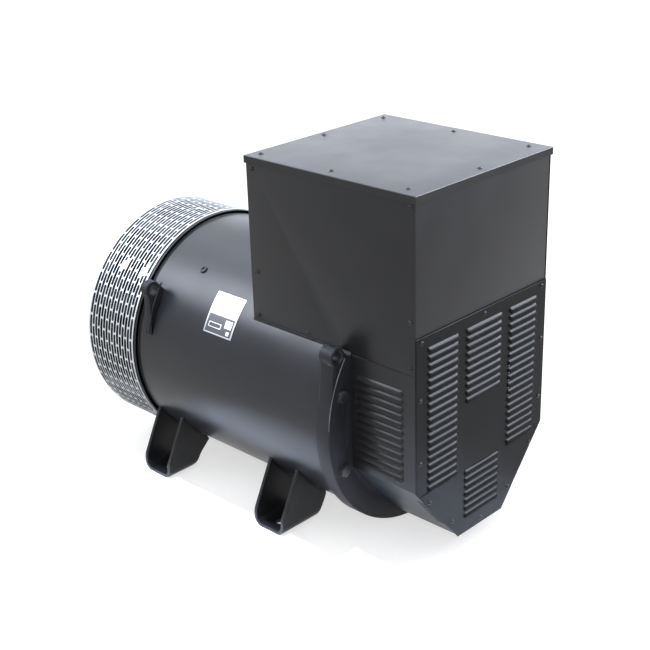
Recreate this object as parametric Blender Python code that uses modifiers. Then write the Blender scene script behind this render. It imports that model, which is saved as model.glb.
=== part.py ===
# Generator alternator head, single bearing, with a perforated fan screen, louvred rear hood and terminal box.
# Units are metres and +Z is up. The parts are laid out from the shaft line: x is zero on the outer face of
# the rear louvre cover and falls towards the drive end, z is zero on the shaft line, and -Y is the side of the
# rating plate. One empty then lifts and centres the whole machine, so that it stands on its feet at z = 0.

import math

import bmesh
import bpy
from mathutils import Matrix

# Clearance between touching pieces, the clearance of a bolt in its hole, and how far a cutter overruns
GAP = 0.0003
HOLE_CLEARANCE = 0.0008
OVERRUN = 0.012
SURFACE_EMBED = 0.001

# Facets of the large round parts, the rotor parts and the small round parts
LARGE_STEPS = 36
ROTOR_STEPS = 24
SMALL_STEPS = 16
PIN_STEPS = 8
HEX_STEPS = 6

# Stator frame: a rolled barrel with a bolting ring inside each end
BARREL_RADIUS = 0.347
GROUND_CLEARANCE = 0.019
BARREL_WALL = 0.010
BARREL_LENGTH = 0.740
END_RING_DEPTH = 0.042
END_RING_LENGTH = 0.022
LEAD_OPENING_LENGTH = 0.200
LEAD_OPENING_WIDTH = 0.200
LEAD_OPENING_INSET = 0.157
PLUG_RADIUS = 0.010
PLUG_HEIGHT = 0.004
PLUG_CROWN_SHARE = 0.62
PLUG_INSET = 0.160
PLUG_ANGLE = math.radians(52.5)

# Feet: a plate folded to a U, with sloping outer edges and curved inner edges
FOOT_WIDTH = 0.115
FOOT_PLATE = 0.010
FOOT_BEND_RADIUS = 0.028
FOOT_TOE_OVERHANG = 0.017
FOOT_TOE_HEIGHT = 0.048
FOOT_TOP_ANGLE = math.radians(27.7)
FOOT_TOP_SINK = 0.0308
FOOT_INNER_TOP_ANGLE = math.radians(56.7)
FOOT_INNER_TOP_SINK = 0.0336
FRONT_FOOT_INSET = 0.061
REAR_FOOT_INSET = 0.194
FRONT_FOOT_LENGTH = 0.066
REAR_FOOT_LENGTH = 0.102
FOOT_HEEL_RISE = 0.022
FOOT_HEEL_RUN = 0.038
FOOT_HOLE_RADIUS = 0.011
FOOT_HOLE_INSET = 0.042

# Lifting ears on the barrel and the cast lifting lugs of the rear bracket
EYE_ANGLE = math.radians(34.5)
EYE_TAIL_ANGLE = math.radians(13.7)
EYE_SHOULDER_ANGLE = math.radians(37.0)
EYE_HEIGHT = 0.040
EYE_HOLE_RADIUS = 0.015
EYE_OUTER_RADIUS = 0.026
FRONT_EYE_THICKNESS = 0.025
FRONT_EYE_INSET = 0.043
REAR_EYE_THICKNESS = 0.036

# Engine adaptor ring, standard housing size 0: 711.2 mm outside, 647.7 mm spigot, 16 holes on 679.45 mm
ADAPTOR_LENGTH = 0.233
ADAPTOR_PROUD = 0.0086
ADAPTOR_SPIGOT_INSET = 0.03175
ADAPTOR_BOLT_INSET = 0.015875
ADAPTOR_BOLT_COUNT = 16
ADAPTOR_HOLE_RADIUS = 0.0055
ADAPTOR_FLANGE = 0.020
ADAPTOR_GROOVE_DEPTH = 0.0196
ADAPTOR_GROOVE_LENGTH = 0.009
ADAPTOR_WINDOW_COUNT = 8
ADAPTOR_WINDOW_SHARE = 0.596
ADAPTOR_WINDOW_LENGTH = 0.150

# Fan screen: a bright perforated band clamped round the adaptor
SCREEN_SHEET = 0.0015
SCREEN_WIDTH = 0.214
SCREEN_FRONT_INSET = 0.001
SCREEN_SLOT_ROWS = 4
SCREEN_SLOTS_ROUND = 12
SCREEN_MARGIN = 0.012
SCREEN_RIB = 0.014
SCREEN_BRIDGE_SHARE = 0.17
SCREEN_JOINT_ANGLE = math.radians(40.5)

# Rear bracket: a cast spider with the bearing housing in its hub
HOOD_LENGTH = 0.216
BRACKET_RIM_LENGTH = 0.047
BRACKET_PROUD = 0.014
BRACKET_RIM_WIDTH = 0.065
BRACKET_HUB_RADIUS = 0.122
BRACKET_HUB_INSET = 0.001
BRACKET_HUB_LENGTH = 0.056
BRACKET_ARM_COUNT = 6
BRACKET_ARM_WIDTH = 0.050
BRACKET_ARM_THICKNESS = 0.030
BRACKET_SHAFT_CLEARANCE = 0.006
BRACKET_BOLT_INSET = 0.034
BRACKET_BOLT_ANGLE = math.radians(19.2)
BRACKET_BOLT_ACROSS_FLATS = 0.030
BRACKET_BOLT_HEAD = 0.0125
BRACKET_BOLT_SHANK_RADIUS = 0.008
BRACKET_BOLT_SHANK_LENGTH = 0.060

# Ball bearing, 85 mm bore, 180 mm outside, 41 mm wide
BEARING_BORE_RADIUS = 0.0425
BEARING_OUTER_RADIUS = 0.090
BEARING_WIDTH = 0.041
BEARING_PITCH_RADIUS = 0.06625
BALL_RADIUS = 0.0142
BALL_COUNT = 8
BALL_SEGMENTS = 8
BALL_RINGS = 5
RACE_SHOULDER = 0.0075
RACE_RUNNING_CLEARANCE = 0.0011
CAGE_HALF_DEPTH = 0.003
CAGE_HALF_WIDTH = 0.009
BEARING_CAP_RADIUS = 0.112
BEARING_CAP_THICKNESS = 0.012

# Stator core, its bars and its winding overhangs
CORE_FRONT_INSET = 0.103
CORE_REAR_INSET = 0.217
CORE_FRAME_SPACE = 0.047
CORE_BORE_SHARE = 0.71
CORE_SLOT_COUNT = 12
CORE_SLOT_DEPTH = 0.040
CORE_SLOT_SHARE = 0.46
CORE_BAR_COUNT = 6
CORE_BAR_WIDTH = 0.040
OVERHANG_LENGTH = 0.062
OVERHANG_STEP = 0.009
OVERHANG_DEPTH = 0.050
OVERHANG_ROUNDING = 0.016

# Rotor: shaft steps, a four-pole core and its coils
SHAFT_HUB_RADIUS = 0.070
SHAFT_CORE_RADIUS = 0.080
SHAFT_EXCITER_RADIUS = 0.065
SHAFT_SEAL_RADIUS = 0.050
SHAFT_TAIL_RADIUS = 0.025
SHAFT_CORE_OVERHANG = 0.006
SHAFT_EXCITER_END_INSET = 0.029
SHAFT_CHAMFER = 0.003
AIR_GAP = 0.005
POLE_COUNT = 4
POLE_SHOE_ANGLE = math.radians(34.0)
POLE_SHOE_DEPTH = 0.030
POLE_BODY_HALF_WIDTH = 0.058
ROTOR_YOKE_SHARE = 0.5385
COIL_WIDTH = 0.030
COIL_END_WIDTH = 0.034

# Coupling hub, disc pack and fan
HUB_LENGTH = 0.170
HUB_RADIUS = 0.105
HUB_FLANGE_RADIUS = 0.176
HUB_FLANGE_THICKNESS = 0.022
DISC_PROUD = 0.0254
DISC_RADIUS = 0.23335
DISC_PACK_THICKNESS = 0.0048
DISC_BORE_RADIUS = 0.094
DISC_HOLE_COUNT = 8
DISC_HOLE_CIRCLE_RADIUS = 0.219075
DISC_HOLE_RADIUS = 0.0068
CLAMP_RING_THICKNESS = 0.008
CLAMP_RING_RADIUS = 0.172
HUB_BOLT_CIRCLE_RADIUS = 0.148
HUB_BOLT_COUNT = 8
HUB_BOLT_ACROSS_FLATS = 0.024
HUB_BOLT_HEAD = 0.010
FAN_TIP_CLEARANCE = 0.02385
FAN_EYE_RADIUS = 0.190
FAN_DISC_THICKNESS = 0.005
FAN_DISC_INSET = 0.0463
FAN_BOSS_RADIUS = 0.135
FAN_BOSS_LENGTH = 0.040
FAN_BLADE_COUNT = 11
FAN_BLADE_DEPTH = 0.105
FAN_BLADE_THICKNESS = 0.005
FAN_BLADE_SWEEP = math.radians(26.0)
FAN_BLADE_STATIONS = 5

# Exciter on the shaft inside the rear bracket, and the pilot exciter behind the bearing
EXCITER_INSET = 0.135
EXCITER_CORE_LENGTH = 0.060
EXCITER_ROTOR_RADIUS = 0.104
EXCITER_AIR_GAP = 0.002
EXCITER_YOKE_RADIUS = 0.160
EXCITER_YOKE_WALL = 0.018
EXCITER_FOOT_RADIUS = 0.186
EXCITER_FOOT_THICKNESS = 0.010
RECTIFIER_INSET = 0.059
RECTIFIER_THICKNESS = 0.012
RECTIFIER_RADIUS = 0.112
DIODE_COUNT = 6
DIODE_CIRCLE_RADIUS = 0.090
DIODE_RADIUS = 0.010
DIODE_HEIGHT = 0.016
PILOT_INSET = 0.046
PILOT_LENGTH = 0.040
PILOT_ROTOR_RADIUS = 0.048
PILOT_STATOR_RADIUS = 0.080
PILOT_HOUSING_WALL = 0.006

# Terminal box panels and lid
COVER_SIDE_INSET = 0.075
SHEET = 0.002
BOX_FRONT_INSET = 0.311
BOX_REAR_RECESS = 0.004
BOX_SEAM_DROP = 0.00146
BOX_HEIGHT = 0.317
LID_CROWN = 0.004
LID_LIP = 0.020
LID_OVERHANG = 0.004
BOX_FLOOR_THICKNESS = 0.004
BOX_RAIL_Y = 0.150
BOX_RAIL_WIDTH = 0.030
BOX_RAIL_LENGTH = 0.250

# Terminal gear inside the box
BOARD_LENGTH = 0.340
BOARD_WIDTH = 0.100
BOARD_HEIGHT = 0.050
BOARD_INSET = 0.087
BOARD_SIDE_SPACE = 0.0897
LINK_LENGTH = 0.088
LINK_WIDTH = 0.034
LINK_THICKNESS = 0.006
LINK_COUNT = 3
STUD_RADIUS = 0.006
STUD_HEIGHT = 0.030
STUD_NUT_ACROSS_FLATS = 0.019
STUD_NUT_HEIGHT = 0.010
STUD_SPACING = 0.052
REGULATOR_LENGTH = 0.150
REGULATOR_DEPTH = 0.045
REGULATOR_HEIGHT = 0.130
REGULATOR_SIDE_SPACE = 0.0697
REGULATOR_BRACKET_MARGIN = 0.025
REGULATOR_BRACKET_SHEET = 0.003
REGULATOR_LIFT = 0.050

# Rear louvre cover, side louvre panels and the belly pan of the hood
COVER_SHEET = 0.0025
COVER_TOP_DROP = 0.050
COVER_BOTTOM_RISE = 0.038
COVER_CHAMFER_HEIGHT = 0.208
COVER_BOTTOM_HALF_WIDTH = 0.096
COVER_RETURN = 0.012
PAN_INSET = 0.003
PAN_LIP = 0.026
LOUVRE_HEIGHT = 0.0165
LOUVRE_DEPTH = 0.007
LOUVRE_END_SLOPE = 0.007
LOUVRE_CREST_SHARE = 0.42
LOUVRE_SLIT_DROP = 0.0022
LOUVRE_WALL = 0.002
LOUVRE_CUT_PAST = 0.001
REAR_LOUVRE_PITCH = 0.0216
REAR_LOUVRE_TOP_SPACE = 0.041
OUTER_LOUVRE_SHARE = 0.4412
OUTER_LOUVRE_PLACE_SHARE = 0.614
MIDDLE_LOUVRE_SHARE = 0.5441
UPPER_LOUVRE_SHARE = 0.53
LOWER_LOUVRE_TOP_SPACE = 0.023
LOWER_LOUVRE_FOOT_SPACE = 0.050
SIDE_LOUVRE_PITCH = 0.0221
SIDE_LOUVRE_TOP_SPACE = 0.058
SIDE_LOUVRE_FOOT_SPACE = 0.020
SIDE_LOUVRE_END_SPACE = 0.060
SIDE_LOUVRE_REAR_SPACE = 0.042

# Rating plate on the barrel
PLATE_INSET = 0.262
PLATE_LENGTH = 0.112
PLATE_LOW_ANGLE = math.radians(25.2)
PLATE_HIGH_ANGLE = math.radians(45.0)
PLATE_THICKNESS = 0.0012

# Places along the shaft line, worked out from the sizes above
BRACKET_REAR_X = -HOOD_LENGTH
BARREL_REAR_X = BRACKET_REAR_X - BRACKET_RIM_LENGTH
BRACKET_FRONT_X = BARREL_REAR_X + GAP
BARREL_FRONT_X = BARREL_REAR_X - BARREL_LENGTH
ADAPTOR_REAR_X = BARREL_FRONT_X - GAP
ADAPTOR_FACE_X = ADAPTOR_REAR_X - ADAPTOR_LENGTH
DISC_FACE_X = ADAPTOR_FACE_X - DISC_PROUD
DISC_REAR_X = DISC_FACE_X + DISC_PACK_THICKNESS
HUB_FRONT_X = DISC_REAR_X + GAP
HUB_REAR_X = HUB_FRONT_X + HUB_LENGTH
CLAMP_RING_FRONT_X = DISC_FACE_X - GAP - CLAMP_RING_THICKNESS
HUB_BOLT_FRONT_X = CLAMP_RING_FRONT_X - HUB_BOLT_HEAD
FAN_DISC_FRONT_X = ADAPTOR_FACE_X + FAN_DISC_INSET
FRONT_FOOT_X = BARREL_FRONT_X + FRONT_FOOT_INSET
REAR_FOOT_X = BARREL_REAR_X - REAR_FOOT_INSET
FRONT_EYE_X = BARREL_FRONT_X + FRONT_EYE_INSET
PLUG_X = BARREL_FRONT_X + PLUG_INSET
PLATE_FRONT_X = BARREL_FRONT_X + PLATE_INSET
LEAD_OPENING_X = BARREL_REAR_X - LEAD_OPENING_INSET
CORE_FRONT_X = BARREL_FRONT_X + CORE_FRONT_INSET
CORE_REAR_X = BARREL_REAR_X - CORE_REAR_INSET
SHAFT_EXCITER_END_X = BARREL_REAR_X - SHAFT_EXCITER_END_INSET
EXCITER_FRONT_X = BARREL_REAR_X - EXCITER_INSET
RECTIFIER_FRONT_X = BARREL_REAR_X - RECTIFIER_INSET
BRACKET_HUB_FRONT_X = BARREL_REAR_X + BRACKET_HUB_INSET
BRACKET_HUB_REAR_X = BRACKET_HUB_FRONT_X + BRACKET_HUB_LENGTH
BEARING_REAR_X = BRACKET_HUB_REAR_X - GAP
BEARING_FRONT_X = BEARING_REAR_X - BEARING_WIDTH
BEARING_MIDDLE_X = BEARING_FRONT_X + BEARING_WIDTH / 2
CAP_FRONT_X = BRACKET_HUB_REAR_X + GAP
CAP_REAR_X = CAP_FRONT_X + BEARING_CAP_THICKNESS
PILOT_FRONT_X = BRACKET_HUB_REAR_X + PILOT_INSET
PILOT_REAR_X = PILOT_FRONT_X + PILOT_LENGTH
COVER_INNER_X = -COVER_SHEET - GAP
BOX_FRONT_X = BARREL_REAR_X - BOX_FRONT_INSET
BOX_REAR_X = -BOX_REAR_RECESS
BOARD_X = BARREL_REAR_X - BOARD_INSET
MACHINE_SHIFT_X = -(HUB_BOLT_FRONT_X + LOUVRE_DEPTH) / 2

# Radii that follow the barrel
BARREL_INNER_RADIUS = BARREL_RADIUS - BARREL_WALL
END_RING_RADIUS = BARREL_RADIUS - END_RING_DEPTH
ADAPTOR_RADIUS = BARREL_RADIUS + ADAPTOR_PROUD
ADAPTOR_SPIGOT_RADIUS = ADAPTOR_RADIUS - ADAPTOR_SPIGOT_INSET
ADAPTOR_BOLT_CIRCLE_RADIUS = ADAPTOR_RADIUS - ADAPTOR_BOLT_INSET
ADAPTOR_GROOVE_RADIUS = ADAPTOR_RADIUS - ADAPTOR_GROOVE_DEPTH
ADAPTOR_WINDOW_WIDTH = ADAPTOR_RADIUS * ADAPTOR_WINDOW_SHARE
BRACKET_RADIUS = BARREL_RADIUS + BRACKET_PROUD
BRACKET_WINDOW_RADIUS = BRACKET_RADIUS - BRACKET_RIM_WIDTH
BRACKET_BOLT_CIRCLE_RADIUS = BRACKET_RADIUS - BRACKET_BOLT_INSET
EYE_CENTRE_RADIUS = BARREL_RADIUS + EYE_HEIGHT
CORE_OUTER_RADIUS = BARREL_RADIUS - CORE_FRAME_SPACE
CORE_BORE_RADIUS = CORE_OUTER_RADIUS * CORE_BORE_SHARE
OVERHANG_INNER_RADIUS = CORE_BORE_RADIUS + OVERHANG_STEP
OVERHANG_OUTER_RADIUS = OVERHANG_INNER_RADIUS + OVERHANG_DEPTH
ROTOR_RADIUS = CORE_BORE_RADIUS - AIR_GAP
ROTOR_YOKE_RADIUS = ROTOR_RADIUS * ROTOR_YOKE_SHARE
FAN_RADIUS = ADAPTOR_SPIGOT_RADIUS - FAN_TIP_CLEARANCE

# Places across the shaft line and heights
SHAFT_HEIGHT = BARREL_RADIUS + GROUND_CLEARANCE
FOOT_TOE_Y = BARREL_RADIUS + FOOT_TOE_OVERHANG
FOOT_HOLE_Y = FOOT_TOE_Y - FOOT_HOLE_INSET
FRONT_FOOT_HEEL_Y = FOOT_TOE_Y - FRONT_FOOT_LENGTH
REAR_FOOT_HEEL_Y = FOOT_TOE_Y - REAR_FOOT_LENGTH
FOOT_TOP_Y = (BARREL_RADIUS - FOOT_TOP_SINK) * math.cos(FOOT_TOP_ANGLE)
FOOT_TOP_Z = -(BARREL_RADIUS - FOOT_TOP_SINK) * math.sin(FOOT_TOP_ANGLE)
FOOT_INNER_TOP_Y = (BARREL_RADIUS - FOOT_INNER_TOP_SINK) * math.cos(FOOT_INNER_TOP_ANGLE)
FOOT_INNER_TOP_Z = -(BARREL_RADIUS - FOOT_INNER_TOP_SINK) * math.sin(FOOT_INNER_TOP_ANGLE)
COVER_HALF_WIDTH = BARREL_RADIUS - COVER_SIDE_INSET
COVER_TOP_Z = BRACKET_RADIUS - COVER_TOP_DROP
COVER_BOTTOM_Z = COVER_BOTTOM_RISE - BRACKET_RADIUS
COVER_CHAMFER_Z = COVER_BOTTOM_Z + COVER_CHAMFER_HEIGHT
BOX_SEAM_Z = math.sqrt(BARREL_RADIUS**2 - COVER_HALF_WIDTH**2) - BOX_SEAM_DROP
BOX_FLOOR_Z = BRACKET_RADIUS + GAP
BOX_FLOOR_TOP_Z = BOX_FLOOR_Z + BOX_FLOOR_THICKNESS
BOX_INNER_HALF_WIDTH = COVER_HALF_WIDTH - SHEET - GAP
LID_TOP_Z = BRACKET_RADIUS + BOX_HEIGHT
BOX_PANEL_TOP_Z = LID_TOP_Z - LID_CROWN - SHEET - GAP
BOARD_Y = BOX_INNER_HALF_WIDTH - BOARD_SIDE_SPACE
REGULATOR_BRACKET_Y = REGULATOR_SIDE_SPACE - BOX_INNER_HALF_WIDTH

# Louvre lengths, places and counts, from the panels that carry them
REAR_LOUVRE_TOP_Z = COVER_TOP_Z - REAR_LOUVRE_TOP_SPACE
LOWER_LOUVRE_TOP_Z = COVER_CHAMFER_Z - LOWER_LOUVRE_TOP_SPACE
SIDE_LOUVRE_TOP_Z = BOX_SEAM_Z - SIDE_LOUVRE_TOP_SPACE
OUTER_LOUVRE_LENGTH = COVER_HALF_WIDTH * OUTER_LOUVRE_SHARE
OUTER_LOUVRE_Y = COVER_HALF_WIDTH * OUTER_LOUVRE_PLACE_SHARE
MIDDLE_LOUVRE_LENGTH = COVER_HALF_WIDTH * MIDDLE_LOUVRE_SHARE
SIDE_LOUVRE_LENGTH = HOOD_LENGTH - SIDE_LOUVRE_END_SPACE
SIDE_LOUVRE_X = -SIDE_LOUVRE_REAR_SPACE - SIDE_LOUVRE_LENGTH / 2
OUTER_LOUVRE_RUN = REAR_LOUVRE_TOP_Z - COVER_CHAMFER_Z + LOUVRE_HEIGHT / 2
OUTER_LOUVRE_COUNT = 1 + int(OUTER_LOUVRE_RUN / REAR_LOUVRE_PITCH)
UPPER_LOUVRE_COUNT = int(OUTER_LOUVRE_COUNT * UPPER_LOUVRE_SHARE)
LOWER_LOUVRE_RUN = LOWER_LOUVRE_TOP_Z - COVER_BOTTOM_Z - LOWER_LOUVRE_FOOT_SPACE
LOWER_LOUVRE_COUNT = 1 + int(LOWER_LOUVRE_RUN / REAR_LOUVRE_PITCH)
SIDE_LOUVRE_RUN = SIDE_LOUVRE_TOP_Z - COVER_CHAMFER_Z - SIDE_LOUVRE_FOOT_SPACE
SIDE_LOUVRE_COUNT = 1 + int(SIDE_LOUVRE_RUN / SIDE_LOUVRE_PITCH)

# Finishes: colour, metallic and roughness
FINISHES = {
    "charcoal_paint": ((0.040, 0.042, 0.046), 0.0, 0.38),
    "foot_paint": ((0.012, 0.012, 0.014), 0.0, 0.45),
    "bright_steel": ((0.70, 0.72, 0.73), 1.0, 0.25),
    "machined_steel": ((0.42, 0.42, 0.43), 1.0, 0.35),
    "black_bolts": ((0.020, 0.020, 0.022), 0.8, 0.40),
    "electrical_steel": ((0.20, 0.20, 0.21), 1.0, 0.50),
    "varnished_copper": ((0.30, 0.08, 0.03), 0.6, 0.45),
    "cast_aluminium": ((0.50, 0.51, 0.52), 1.0, 0.50),
    "brass": ((0.60, 0.42, 0.15), 1.0, 0.30),
    "moulded_board": ((0.55, 0.52, 0.45), 0.0, 0.60),
    "regulator_case": ((0.03, 0.05, 0.12), 0.0, 0.50),
    "plate_aluminium": ((0.62, 0.63, 0.64), 1.0, 0.40),
}

# Planes for flat outlines: the matrix turns an outline's x, y and z into two machine axes and a thickness
PLANE_YZ = Matrix(((0, 0, 1), (1, 0, 0), (0, 1, 0))).to_4x4()
PLANE_XZ = Matrix(((1, 0, 0), (0, 0, -1), (0, 1, 0))).to_4x4()
FACE_REAR = PLANE_YZ
FACE_LEFT = PLANE_XZ
FACE_RIGHT = Matrix(((-1, 0, 0), (0, 0, 1), (0, 1, 0))).to_4x4()
AXIS_X = Matrix.Rotation(math.pi / 2, 4, "Y")


def clear_scene():
    for item in list(bpy.data.objects):
        bpy.data.objects.remove(item, do_unlink=True)


clear_scene()
PARTS = bpy.data.collections.new("alternator_head")
CUTTERS = bpy.data.collections.new("alternator_head_cutters")
bpy.context.scene.collection.children.link(PARTS)
bpy.context.scene.collection.children.link(CUTTERS)


def make_empty(name, parent=None, location=(0, 0, 0)):
    empty = bpy.data.objects.new(name, None)
    PARTS.objects.link(empty)
    empty.parent = parent
    empty.location = location
    return empty


MACHINE = make_empty("machine_datum", location=(MACHINE_SHIFT_X, 0, SHAFT_HEIGHT))
ROTOR_AXIS = make_empty("rotor_axis", parent=MACHINE)
CAGE_AXIS = make_empty("bearing_cage_axis", parent=MACHINE, location=(BEARING_MIDDLE_X, 0, 0))


def make_material(part_name, finish):
    colour, metallic, roughness = FINISHES[finish]
    material = bpy.data.materials.new(part_name + "_" + finish)
    material.use_nodes = True
    shader = material.node_tree.nodes["Principled BSDF"]
    shader.inputs["Base Color"].default_value = (*colour, 1)
    shader.inputs["Metallic"].default_value = metallic
    shader.inputs["Roughness"].default_value = roughness
    return material


def make_part(name, mesh, finish, parent=None, matrix=None):
    mesh.name = name
    part = bpy.data.objects.new(name, mesh)
    PARTS.objects.link(part)
    part.parent = parent or MACHINE
    if matrix is not None:
        part.matrix_local = matrix
    mesh.materials.clear()
    mesh.materials.append(make_material(name, finish))
    return part


def make_cutter(name, mesh, matrix=None):
    cutter = bpy.data.objects.new(name, mesh)
    CUTTERS.objects.link(cutter)
    cutter.parent = MACHINE
    if matrix is not None:
        cutter.matrix_local = matrix
    cutter.hide_render = True
    cutter.display_type = "WIRE"
    return cutter


def combine(part, other, operation):
    modifier = part.modifiers.new(operation.lower(), "BOOLEAN")
    modifier.operation = operation
    modifier.solver = "EXACT"
    modifier.object = other


def cut(part, *cutters):
    for cutter in cutters:
        combine(part, cutter, "DIFFERENCE")


def join(part, *others):
    for other in others:
        combine(part, other, "UNION")


def mesh_from(bm, name, smooth_angle=math.radians(35)):
    mesh = bpy.data.meshes.new(name)
    bm.to_mesh(mesh)
    bm.free()
    mesh.shade_smooth()
    mesh.set_sharp_from_angle(angle=smooth_angle)
    return mesh


# Turned shapes: a profile of (radius, x) points, listed so that its outer side runs towards the drive end
def profile_mesh(name, profile, closed):
    mesh = bpy.data.meshes.new(name)
    points = [(radius, 0, x) for radius, x in profile]
    edges = [(index, index + 1) for index in range(len(points) - 1)]
    if closed:
        edges.append((len(points) - 1, 0))
    mesh.from_pydata(points, edges, [])
    return mesh


def add_screw(item, steps):
    screw = item.modifiers.new("turn", "SCREW")
    screw.axis = "Z"
    screw.angle = math.tau
    screw.steps = steps
    screw.render_steps = steps
    screw.use_merge_vertices = True
    screw.merge_threshold = GAP / 10
    screw.use_smooth_shade = True


def turned_part(name, profile, steps, finish, parent=None, closed=True):
    matrix = AXIS_X
    if parent == CAGE_AXIS:
        matrix = Matrix.Translation((-BEARING_MIDDLE_X, 0, 0)) @ AXIS_X
    part = make_part(name, profile_mesh(name, profile, closed), finish, parent, matrix)
    add_screw(part, steps)
    return part


def turned_cutter(name, profile, steps, closed=True):
    cutter = make_cutter(name, profile_mesh(name, profile, closed), AXIS_X)
    add_screw(cutter, steps)
    return cutter


def ring_profile(inner, outer, front, rear):
    return [(outer, rear), (outer, front), (inner, front), (inner, rear)]


def rod_profile(radius, front, rear):
    return [(0, rear), (radius, rear), (radius, front), (0, front)]


# Flat shapes: one or more outlines filled as a 2D curve, extruded, and turned into a welded mesh
def plate_mesh(name, outlines, thickness):
    curve = bpy.data.curves.new(name + "_outline", "CURVE")
    curve.dimensions = "2D"
    curve.fill_mode = "BOTH"
    curve.extrude = thickness / 2
    for outline in outlines:
        spline = curve.splines.new("POLY")
        spline.points.add(len(outline) - 1)
        for point, (across, along) in zip(spline.points, outline):
            point.co = (across, along, 0, 1)
        spline.use_cyclic_u = True
    guide = bpy.data.objects.new(name + "_outline", curve)
    CUTTERS.objects.link(guide)
    graph = bpy.context.evaluated_depsgraph_get()
    mesh = bpy.data.meshes.new_from_object(guide.evaluated_get(graph))
    bpy.data.objects.remove(guide, do_unlink=True)
    bm = bmesh.new()
    bm.from_mesh(mesh)
    bmesh.ops.remove_doubles(bm, verts=bm.verts, dist=GAP / 10)
    bmesh.ops.recalc_face_normals(bm, faces=bm.faces)
    bm.to_mesh(mesh)
    bm.free()
    return mesh


def plane_matrix(plane, low, high):
    thickness_axis = plane.to_3x3() @ Matrix.Identity(3).col[2]
    return Matrix.Translation(thickness_axis * (low + high) / 2) @ plane


def plate_part(name, outlines, plane, low, high, finish, parent=None):
    mesh = plate_mesh(name, outlines, high - low)
    return make_part(name, mesh, finish, parent, plane_matrix(plane, low, high))


def plate_cutter(name, outlines, plane, low, high):
    mesh = plate_mesh(name, outlines, high - low)
    return make_cutter(name, mesh, plane_matrix(plane, low, high))


def arc(centre, radius, start, end, steps):
    angles = [start + (end - start) * step / steps for step in range(steps + 1)]
    return [(centre[0] + radius * math.cos(a), centre[1] + radius * math.sin(a)) for a in angles]


def circle(centre, radius, steps):
    return arc(centre, radius, 0, math.tau, steps)[:-1]


def rectangle(low_u, low_v, high_u, high_v):
    return [(low_u, low_v), (high_u, low_v), (high_u, high_v), (low_u, high_v)]


def mirrored(outline):
    return [(-across, along) for across, along in reversed(outline)]


def parallel_path(points, distance):
    # Each point moves along its mitre, so that every side lands the same distance to the left of the path
    shifted = []
    for index, point in enumerate(points):
        before = points[index - 1] if index > 0 else None
        after = points[index + 1] if index < len(points) - 1 else None
        normals = []
        for start, end in ((before, point), (point, after)):
            if start and end:
                length = math.dist(start, end)
                normals.append(((start[1] - end[1]) / length, (end[0] - start[0]) / length))
        sum_u = sum(normal[0] for normal in normals)
        sum_v = sum(normal[1] for normal in normals)
        share = len(normals) / (sum_u * sum_u + sum_v * sum_v)
        shifted.append((point[0] + distance * sum_u * share, point[1] + distance * sum_v * share))
    return shifted


def strip_outline(path, thickness):
    return list(path) + list(reversed(parallel_path(path, thickness)))


# Blocks and stacked rings built in one bmesh, each ring a radius and a height
def add_block(bm, low, high, matrix=None):
    size = [top - bottom for bottom, top in zip(low, high)]
    centre = [(top + bottom) / 2 for bottom, top in zip(low, high)]
    place = Matrix.Translation(centre) @ Matrix.Diagonal((*size, 1))
    bmesh.ops.create_cube(bm, size=1, matrix=(matrix or Matrix()) @ place)


def block_mesh(name, blocks):
    bm = bmesh.new()
    for low, high, matrix in blocks:
        add_block(bm, low, high, matrix)
    return mesh_from(bm, name)


def add_stack(bm, rings, count, matrix):
    # Rings of (radius, height) joined in order and capped: six corners make a hexagon, more make a round
    loops = []
    for radius, height in rings:
        loop = []
        for step in range(count):
            angle = math.tau * step / count
            point = matrix @ Matrix.Translation((radius * math.cos(angle), radius * math.sin(angle), height))
            loop.append(bm.verts.new(point.translation))
        loops.append(loop)
    for lower, upper in zip(loops, loops[1:]):
        for step in range(count):
            following = (step + 1) % count
            bm.faces.new((lower[step], lower[following], upper[following], upper[step]))
    bm.faces.new(list(reversed(loops[0])))
    bm.faces.new(loops[-1])


def stack_mesh(name, rings, count, places):
    bm = bmesh.new()
    for place in places:
        add_stack(bm, rings, count, place)
    bmesh.ops.recalc_face_normals(bm, faces=bm.faces)
    return mesh_from(bm, name)


def hex_radius(across_flats):
    return across_flats / 2 / math.cos(math.pi / HEX_STEPS)


def around(angle):
    # Turns about the shaft line: zero points up, and a positive angle leans towards the rating plate
    return Matrix.Rotation(angle, 4, "X")


def radial_place(x, angle, radius):
    # Stands a stack on the barrel: its own z points out of the barrel, at an angle above the -Y side
    return Matrix.Translation((x, 0, 0)) @ around(math.pi / 2 - angle) @ Matrix.Translation((0, 0, radius))


def axial_place(x, radius, angle, direction):
    # Stands a stack on a face across the shaft, looking to +X or -X
    flip = Matrix.Rotation(direction * math.pi / 2, 4, "Y")
    return around(angle) @ Matrix.Translation((x, 0, radius)) @ flip


def ring_angles(count, phase=0.0):
    return [math.tau * (index + phase) / count for index in range(count)]


# Stator frame
def bracket_bolt_angles():
    # A pair on each side of the hood, above and below the shaft line, and a pair under the terminal box
    side = math.pi / 2 - BRACKET_BOLT_ANGLE
    return [side, math.pi - side, -side, side - math.pi, BRACKET_BOLT_ANGLE, -BRACKET_BOLT_ANGLE]


def hole_cutter(name, radius, front, rear, places_radius, angles):
    rings = [(radius, 0), (radius, rear - front)]
    places = [axial_place(front, places_radius, angle, 1) for angle in angles]
    return make_cutter(name, stack_mesh(name, rings, HEX_STEPS, places))


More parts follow.
